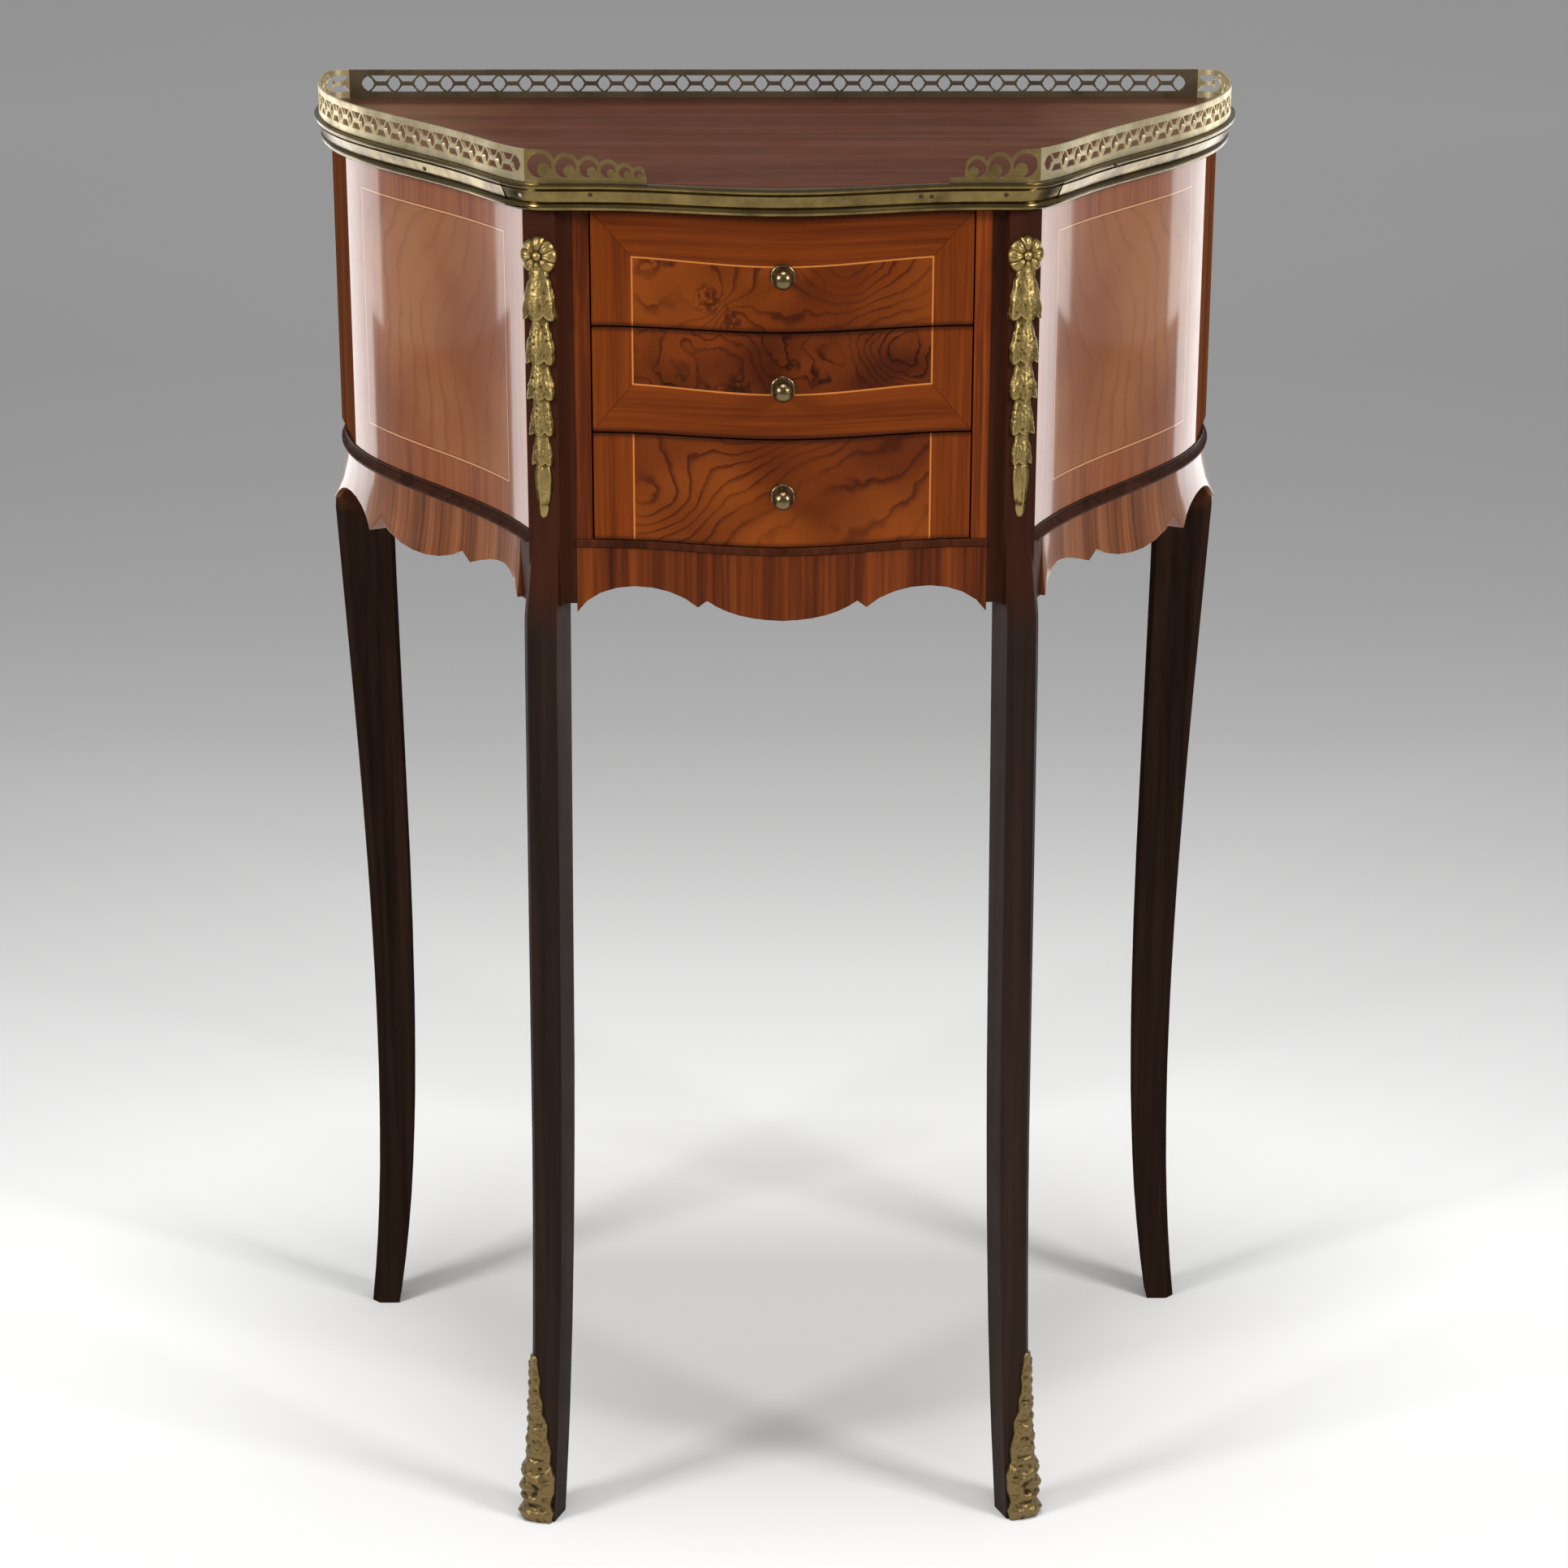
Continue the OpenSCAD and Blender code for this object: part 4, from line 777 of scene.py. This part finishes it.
# Turns a profile of (radius, height) points about its own axis
def turned(shape, profile, steps):
    spots = [shape.verts.new((r * mm, 0, h * mm)) for r, h in profile]
    rim = [shape.edges.new(pair) for pair in zip(spots, spots[1:])]
    bmesh.ops.spin(shape, geom=spots + rim, cent=(0, 0, 0), axis=(0, 0, 1), dvec=(0, 0, 0),
        angle=math.tau, steps=steps, use_merge=True, use_duplicate=False)
    bmesh.ops.remove_doubles(shape, verts=shape.verts, dist=1e-6)
    bmesh.ops.recalc_face_normals(shape, faces=shape.faces)


def makeKnob(drawer, p):
    low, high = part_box("drawer_" + drawer + "_knob")
    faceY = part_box("drawer_" + drawer + "_knob_plate")[1].y
    seat = Matrix.Translation(((low.x + high.x) / 2, faceY, (low.z + high.z) / 2)) \
        @ Matrix.Rotation(deg(90), 4, "X")
    r, reach = p["ball"], p["reach"]
    ball = [(r * math.cos(deg(a)), reach - r + r * math.sin(deg(a))) for a in range(-58, 91, 8)]
    ball[-1] = (0, reach)   # The outline ends at the pole
    neck, wide = p["neck"], p["plate"]
    knob = [(0, -8), (2, -8), (2, 1.2), (neck + 1.5, 1.4), (neck + 0.9, 2.0), (neck, 2.9),
        (neck, 3.6)] + ball
    plate = [(0, 0), (wide, 0), (wide, 0.5), (wide - 0.5, 1.0), (wide - 1.3, 1.25),
        (wide - 1.9, 1.0), (neck + 1.4, 1.3), (0, 1.3)]
    body = "drawer_" + drawer
    for part, profile in (("_knob", knob), ("_knob_plate", plate)):
        shape = bmesh.new()
        turned(shape, profile, p["steps"])
        bmesh.ops.transform(shape, matrix=seat, verts=shape.verts)
        smoothAll(shape)
        publish(shape, camel(body + part), body, finishes["knob"], (body + part,))


for drawer in ("top", "middle", "bottom"):
    makeKnob(drawer, knobLook)
print("knobs are turned")


# Cast bronze mounts

# Marks how deep each point lies below its neighbours, for the dark recesses, which are partly
# grime and partly painted shade. level is the mark of a flat spot
def markHollows(shape, rounds, reach, level=0.35):
    layer = shape.verts.layers.float.new("hollow")
    place = {v: v.co.copy() for v in shape.verts}
    for _ in range(rounds):
        place = {v: sum((place[e.other_vert(v)] for e in v.link_edges), place[v].copy())
            / (len(v.link_edges) + 1) for v in shape.verts}
    shape.normal_update()
    for v in shape.verts:
        v[layer] = max(0.0, min(1.0, level + (place[v] - v.co).dot(v.normal) / (reach * mm)))


# The front posts, in millimetres and degrees: corner is where the outer arris stands
post = {"width": 18.0, "cant": 22.0, "corner": 134.0}


# Moves a mount from the origin onto one of the front posts
def postSeat(hand):
    half = post["width"] / 2
    c, s = math.cos(deg(post["cant"])), math.sin(deg(post["cant"]))
    centre = at(post["corner"] - half * (c + s), half * (c - s), 0)
    seat = Matrix.Translation(centre) @ Matrix.Rotation(deg(post["cant"]), 4, "Z")
    flip = Matrix.Scale(-1, 4, (1, 0, 0)) if hand == "left" else Matrix.Identity(4)
    return flip @ seat


# Moves a shape and keeps its faces outward when the move is a mirror
def seated(shape, matrix):
    bmesh.ops.transform(shape, matrix=matrix, verts=shape.verts)
    if matrix.determinant() < 0:
        bmesh.ops.reverse_faces(shape, faces=shape.faces)


def joinInto(target, source):
    mesh = bpy.data.meshes.new("part")
    source.to_mesh(mesh)
    source.free()
    target.from_mesh(mesh)
    bpy.data.meshes.remove(mesh)


def smoothStep(low, high, value):
    share = max(0.0, min(1.0, (value - low) / (high - low)))
    return share * share * (3 - 2 * share)


# In millimetres. Each husk has a height, a width at its neck and a width at its lip
chuteLook = {
    "top": caseTop - 13.5, "relief": 0.74, "back": 0.3, "steps": 60, "rows": 15,
    "rosette": 20.5, "petals": 8, "rosetteSteps": 96, "underRosette": 0.8,
    "husks": [(26.0, 10.4, 18.6), (23.5, 9.2, 16.6), (19.0, 9.4, 15.2), (19.0, 9.0, 13.4),
        (16.3, 7.8, 11.6)],
    "overlap": (0.04, 1.08), "huskPetals": 6, "bloom": 0.09, "ribs": 12, "ribHeight": 0.018,
    "grit": 0.09, "tip": (31.0, 9.8), "tipLift": 1.0, "tipGrit": 0.14,
}


# One husk: a bell that opens into six petals with fine ribs, flat at its back
def addHusk(chute, top, height, neck, lip, p):
    shape = bmesh.new()
    profile = [(0, top)]
    for i in range(p["rows"]):
        t = i / (p["rows"] - 1)
        r = neck / 2 * (0.84 + 0.16 * smoothStep(0, 0.1, t)) \
            + (lip - neck) / 2 * (0.3 * t + 0.7 * smoothStep(0.08, 0.72, t))
        profile.append((r, top - t * height))
    profile += [(lip / 2 * 0.86, top - height), (lip / 2 * 0.6, top - height * 0.93),
        (0, top - height * 0.9)]
    turned(shape, profile, p["steps"])
    for v in shape.verts:
        r = math.hypot(v.co.x, v.co.y) / mm
        angle = math.atan2(v.co.x, -v.co.y)
        t = (top - v.co.z / mm) / height
        petal = abs(math.cos(p["huskPetals"] / 2 * angle)) ** 0.7
        edge = smoothStep(0.45, 1.0, t) * smoothStep(0.2, 0.7, r / (lip / 2))
        grow = 1 + p["bloom"] * (petal - 0.5) * edge
        grow += p["ribHeight"] * math.cos(p["ribs"] * angle) * smoothStep(0.08, 0.4, t)
        grit = Vector((r * math.sin(angle) * 0.6, v.co.z / mm * 0.5, 3))
        grow += p["grit"] * noise.noise(grit)
        v.co.x *= grow
        v.co.y *= grow
        v.co.z += (1 - petal) * 0.1 * height * mm * edge
        v.co.y = v.co.y * p["relief"] if v.co.y < 0 else p["back"] * mm
    joinInto(chute, shape)


# The long bud under the husks, with a groove down its front
def addTip(chute, top, p):
    height, wide = p["tip"]
    shape = bmesh.new()
    shares = [(0, 0), (0.34, 0), (0.42, 0.1), (0.47, 0.2), (0.5, 0.32), (0.48, 0.44), (0.43, 0.56),
        (0.38, 0.66), (0.33, 0.74), (0.31, 0.82), (0.27, 0.9), (0.16, 0.97), (0, 1)]
    profile = [(wide * across, top - height * down) for across, down in shares]
    turned(shape, profile, p["steps"])
    for v in shape.verts:
        angle = math.atan2(v.co.x, -v.co.y)
        groove = 1 - 0.1 * math.exp(-(angle / 0.16) ** 2) - 0.05 * (1 - abs(math.cos(2.5 * angle)))
        groove += p["tipGrit"] * noise.noise(Vector((v.co.x / mm * 0.6, v.co.z / mm * 0.4, 6)))
        v.co.x *= groove
        v.co.y = v.co.y * p["relief"] * groove if v.co.y < 0 else p["back"] * mm
    joinInto(chute, shape)


# Rosette: a ring of veined petals round a button
def addRosette(chute, p):
    r = p["rosette"] / 2
    shape = bmesh.new()
    profile = [(0, 5.3), (1.2, 5.1), (2.0, 4.5), (2.4, 3.4), (3.2, 3.7), (4.4, 4.3), (5.6, 4.4),
        (6.8, 4.2), (8.0, 3.6), (9.0, 2.9), (9.8, 2.1), (r, 1.2), (r, 0.4), (r - 0.4, -0.3), (0, -0.3)]
    turned(shape, profile, p["rosetteSteps"])
    for v in shape.verts:
        reach = math.hypot(v.co.x, v.co.y) / mm
        angle = math.atan2(v.co.y, v.co.x)
        petal = abs(math.cos(p["petals"] / 2 * angle)) ** 0.45
        on = smoothStep(2.3, 3.6, reach)
        vein = math.exp(-(math.sin(p["petals"] / 2 * angle) / 0.2) ** 2)
        if v.co.z > p["back"] * mm:
            v.co.z -= mm * on * (1.7 * (1 - petal) + 0.5 * vein * (1 - smoothStep(7.5, 9.5, reach)))
        scallop = 1 - 0.07 * (1 - petal) * smoothStep(6.0, 9.5, reach)
        v.co.x *= scallop
        v.co.y *= scallop
    turn = Matrix.Translation((0, 0, (p["top"] - r) * mm)) @ Matrix.Rotation(deg(90), 4, "X")
    bmesh.ops.transform(shape, matrix=turn, verts=shape.verts)
    joinInto(chute, shape)


def makeChute(hand, p):
    chute = bmesh.new()
    addRosette(chute, p)
    z = p["top"] - p["rosette"] * p["underRosette"]
    lift, stretch = p["overlap"]   # Each husk starts a little inside the one above
    for height, neck, lip in p["husks"]:
        addHusk(chute, z + height * lift, height * stretch, neck, lip, p)
        z -= height
    addTip(chute, z + p["tipLift"], p)
    face = Matrix.Translation((0, -post["width"] / 2 * mm, 0))
    seated(chute, postSeat(hand) @ face)
    markHollows(chute, rounds=3, reach=0.35)
    smoothAll(chute)
    publish(chute, "chute" + hand.capitalize(), "case", finishes["bronze"],
        ("chute_" + hand,))


for hand in sides:
    makeChute(hand, chuteLook)
print("chutes are cast")


# In millimetres. knee, bend and foot draw the leg's curve under the casting, edge gives
# its half width by height, and a lump has its place across and up, its reach and its rise.
# The scroll is a raised ring round a sunk eye, each with its radius, breadth and height
sabotLook = {
    "height": 104.0, "across": 44, "along": 170, "wall": 0.9, "rim": 0.985, "sink": 0.5,
    "knee": 12.3, "kneeZ": 548.0, "bend": (0.78, 0.36), "foot": (14.2, 11.5, 18.5), "bevel": 4.0,
    "swell": [(0, 2.8), (5, 4.0), (10, 2.4), (20, 4.2), (30, 3.6), (40, 1.4), (60, 1.0), (104, 0.6)],
    "edge": [(0, 11.2), (6, 12.0), (11, 10.4), (19, 12.0), (29, 12.0), (37, 9.8), (44, 10.2),
        (53, 8.2), (60, 8.2), (67, 6.0), (75, 5.6), (81, 4.4), (89, 4.6), (96, 3.6), (101, 3.2),
        (104, 1.8)],
    "scroll": 21, "ring": (8.0, 1.9, 0.9), "eye": (4.8, 1.5, 0.8),
    "lumps": [(0, 4, 5.0, 1.0), (-6, 5, 3.5, 0.9), (6, 4, 3.5, 0.8), (0, 21, 2.8, 1.5),
        (-7.5, 24, 3.2, 1.2), (6.5, 15, 3.0, 1.0), (-5.5, 13, 2.6, 0.9), (3.5, 31, 3.0, 1.3),
        (-4, 37, 2.8, 1.0), (7, 27, 2.6, 0.9)],
    "leafFrom": 43, "leafStep": 6.1, "lobes": 10, "lobeRise": 1.3, "rough": 1.0,
}


# Reads a table of (place, size) pairs, with straight lines between them
def lookUp(table, value):
    for (x0, y0), (x1, y1) in zip(table, table[1:]):
        if value <= x1:
            return y0 + (y1 - y0) * max(0.0, (value - x0) / (x1 - x0))
    return table[-1][1]


# How far the front leg's faces stand from the post's centre at some height. The curve
# gives height by share, so the share is found by halving
def legReach(z, p):
    xs = (p["knee"], *p["foot"])
    zs = (p["kneeZ"], *(p["kneeZ"] * share for share in p["bend"]), 0.0)
    low, high = 0.0, 1.0
    for _ in range(30):
        t = (low + high) / 2
        weights = ((1 - t) ** 3, 3 * t * (1 - t) ** 2, 3 * t * t * (1 - t), t ** 3)
        if sum(w * v for w, v in zip(weights, zs)) > z:
            low = t
        else:
            high = t
    return sum(w * v for w, v in zip(weights, xs))


# Cast relief of the sabot in millimetres off the leg, for a point s across and z up: its
# swelling, a round scroll, lumps, leaf lobes and grit
def sabotRelief(s, z, width, p):
    share = min(1.0, abs(s) / max(width, 0.01))
    high = (1.3 + lookUp(p["swell"], z)) * (1 - 0.4 * share ** 3)
    turn = math.hypot(s * 0.95, z - p["scroll"])
    radius, reach, rise = p["ring"]
    high += rise * math.exp(-((turn - radius) / reach) ** 2) * smoothStep(8, 12, z)
    radius, reach, depth = p["eye"]
    high -= depth * math.exp(-((turn - radius) / reach) ** 2)
    for across, up, reach, rise in p["lumps"]:
        high += rise * math.exp(-((s - across) ** 2 + (z - up) ** 2) / reach ** 2)
    for i in range(p["lobes"]):   # Leaf lobes grow left and right in turn and shrink upward
        up, size = p["leafFrom"] + p["leafStep"] * i, 1 - 0.05 * i
        across = (0.5 if i % 2 else -0.5) * width
        gap = ((s - across) / (0.5 * width + 0.8)) ** 2 + ((z - up) / (3.0 * size)) ** 2
        high += p["lobeRise"] * size * math.exp(-gap)
    coarse = noise.noise(Vector((s * 0.25, z * 0.25, 4)))
    fine = noise.noise(Vector((s * 0.6, z * 0.6, 9)))
    return high + p["rough"] * (coarse + 0.5 * fine)


# A thin casting that wraps the leg's front arris, worked from a flat grid
def makeSabot(hand, p):
    shape = bmesh.new()
    bmesh.ops.create_grid(shape, x_segments=p["across"], y_segments=p["along"], size=1.0)
    ahead = Vector((math.cos(deg(-45)), math.sin(deg(-45)), 0))
    lateral = Vector((math.cos(deg(45)), math.sin(deg(45)), 0))
    for v in shape.verts:
        share, z = v.co.x, (v.co.y + 1) / 2 * p["height"]
        width = lookUp(p["edge"], z)
        s = share * width
        depth = legReach(z, p) * math.sqrt(2) - p["bevel"] / 2
        if abs(s) > p["bevel"] / 2:
            depth -= abs(s) - p["bevel"] / 2
        lean = max(-1.0, min(1.0, s / (p["bevel"] / 2 + 3))) * deg(45)
        off = ahead * math.cos(lean) + lateral * math.sin(lean)
        rim = abs(share) > p["rim"] or v.co.y > p["rim"]
        high = -p["sink"] if rim else sabotRelief(s, z, width, p)
        spot = ahead * depth + lateral * s + off * high
        v.co = Vector((spot.x * mm, spot.y * mm, max(z, 0.05) * mm))
    bmesh.ops.recalc_face_normals(shape, faces=shape.faces)
    seated(shape, postSeat(hand))
    outward = postSeat(hand).to_3x3() @ ahead
    if sum((f.normal for f in shape.faces), Vector()).dot(outward) < 0:
        bmesh.ops.reverse_faces(shape, faces=shape.faces)
    markHollows(shape, rounds=12, reach=1.0)
    smoothAll(shape)
    piece = publish(shape, "sabot" + hand.capitalize(), "case", finishes["footBronze"],
        ("sabot_" + hand,))
    wall = piece.modifiers.new("wall", "SOLIDIFY")
    wall.thickness = p["wall"] * mm
    wall.offset = -1


for hand in sides:
    makeSabot(hand, sabotLook)
print("sabots are cast")


# Small round pins along the brass edge, each as (x, z) on its face. Most went dark
pinLook = {
    "radius": 1.25, "flat": 0.6,
    "dark": [(-190.3, 765.6), (-98.6, 767.5), (70.6, 767.0), (76.1, 766.8), (114.5, 767.2),
        (177.7, 771.3)],
    "bright": [(-134.6, 766.3)],
}


# Each pin is a flattened dome that stands where a line from the front meets the edge
def makePins(name, spots, finish, p):
    edge = bmesh.new()
    for part in ("front", "left", "right"):
        edge.from_mesh(nodes["edge_moulding_" + part].data)
    tree = BVHTree.FromBMesh(edge)
    edge.free()
    pins = bmesh.new()
    for x, z in spots:
        spot, normal = tree.ray_cast(at(x, -100, z), Vector((0, 1, 0)))[:2]
        seat = Matrix.Translation(spot) @ normal.to_track_quat("Z", "Y").to_matrix().to_4x4()
        bmesh.ops.create_uvsphere(pins, u_segments=20, v_segments=10, radius=p["radius"] * mm,
            matrix=seat @ Matrix.Diagonal((1, 1, p["flat"], 1)))
    smoothAll(pins)
    publish(pins, name, "case", finish)


makePins("edgePinsDark", pinLook["dark"], finishes["pin"], pinLook)
makePins("edgePinBright", pinLook["bright"], finishes["gallery"], pinLook)
print("edge pins are set")
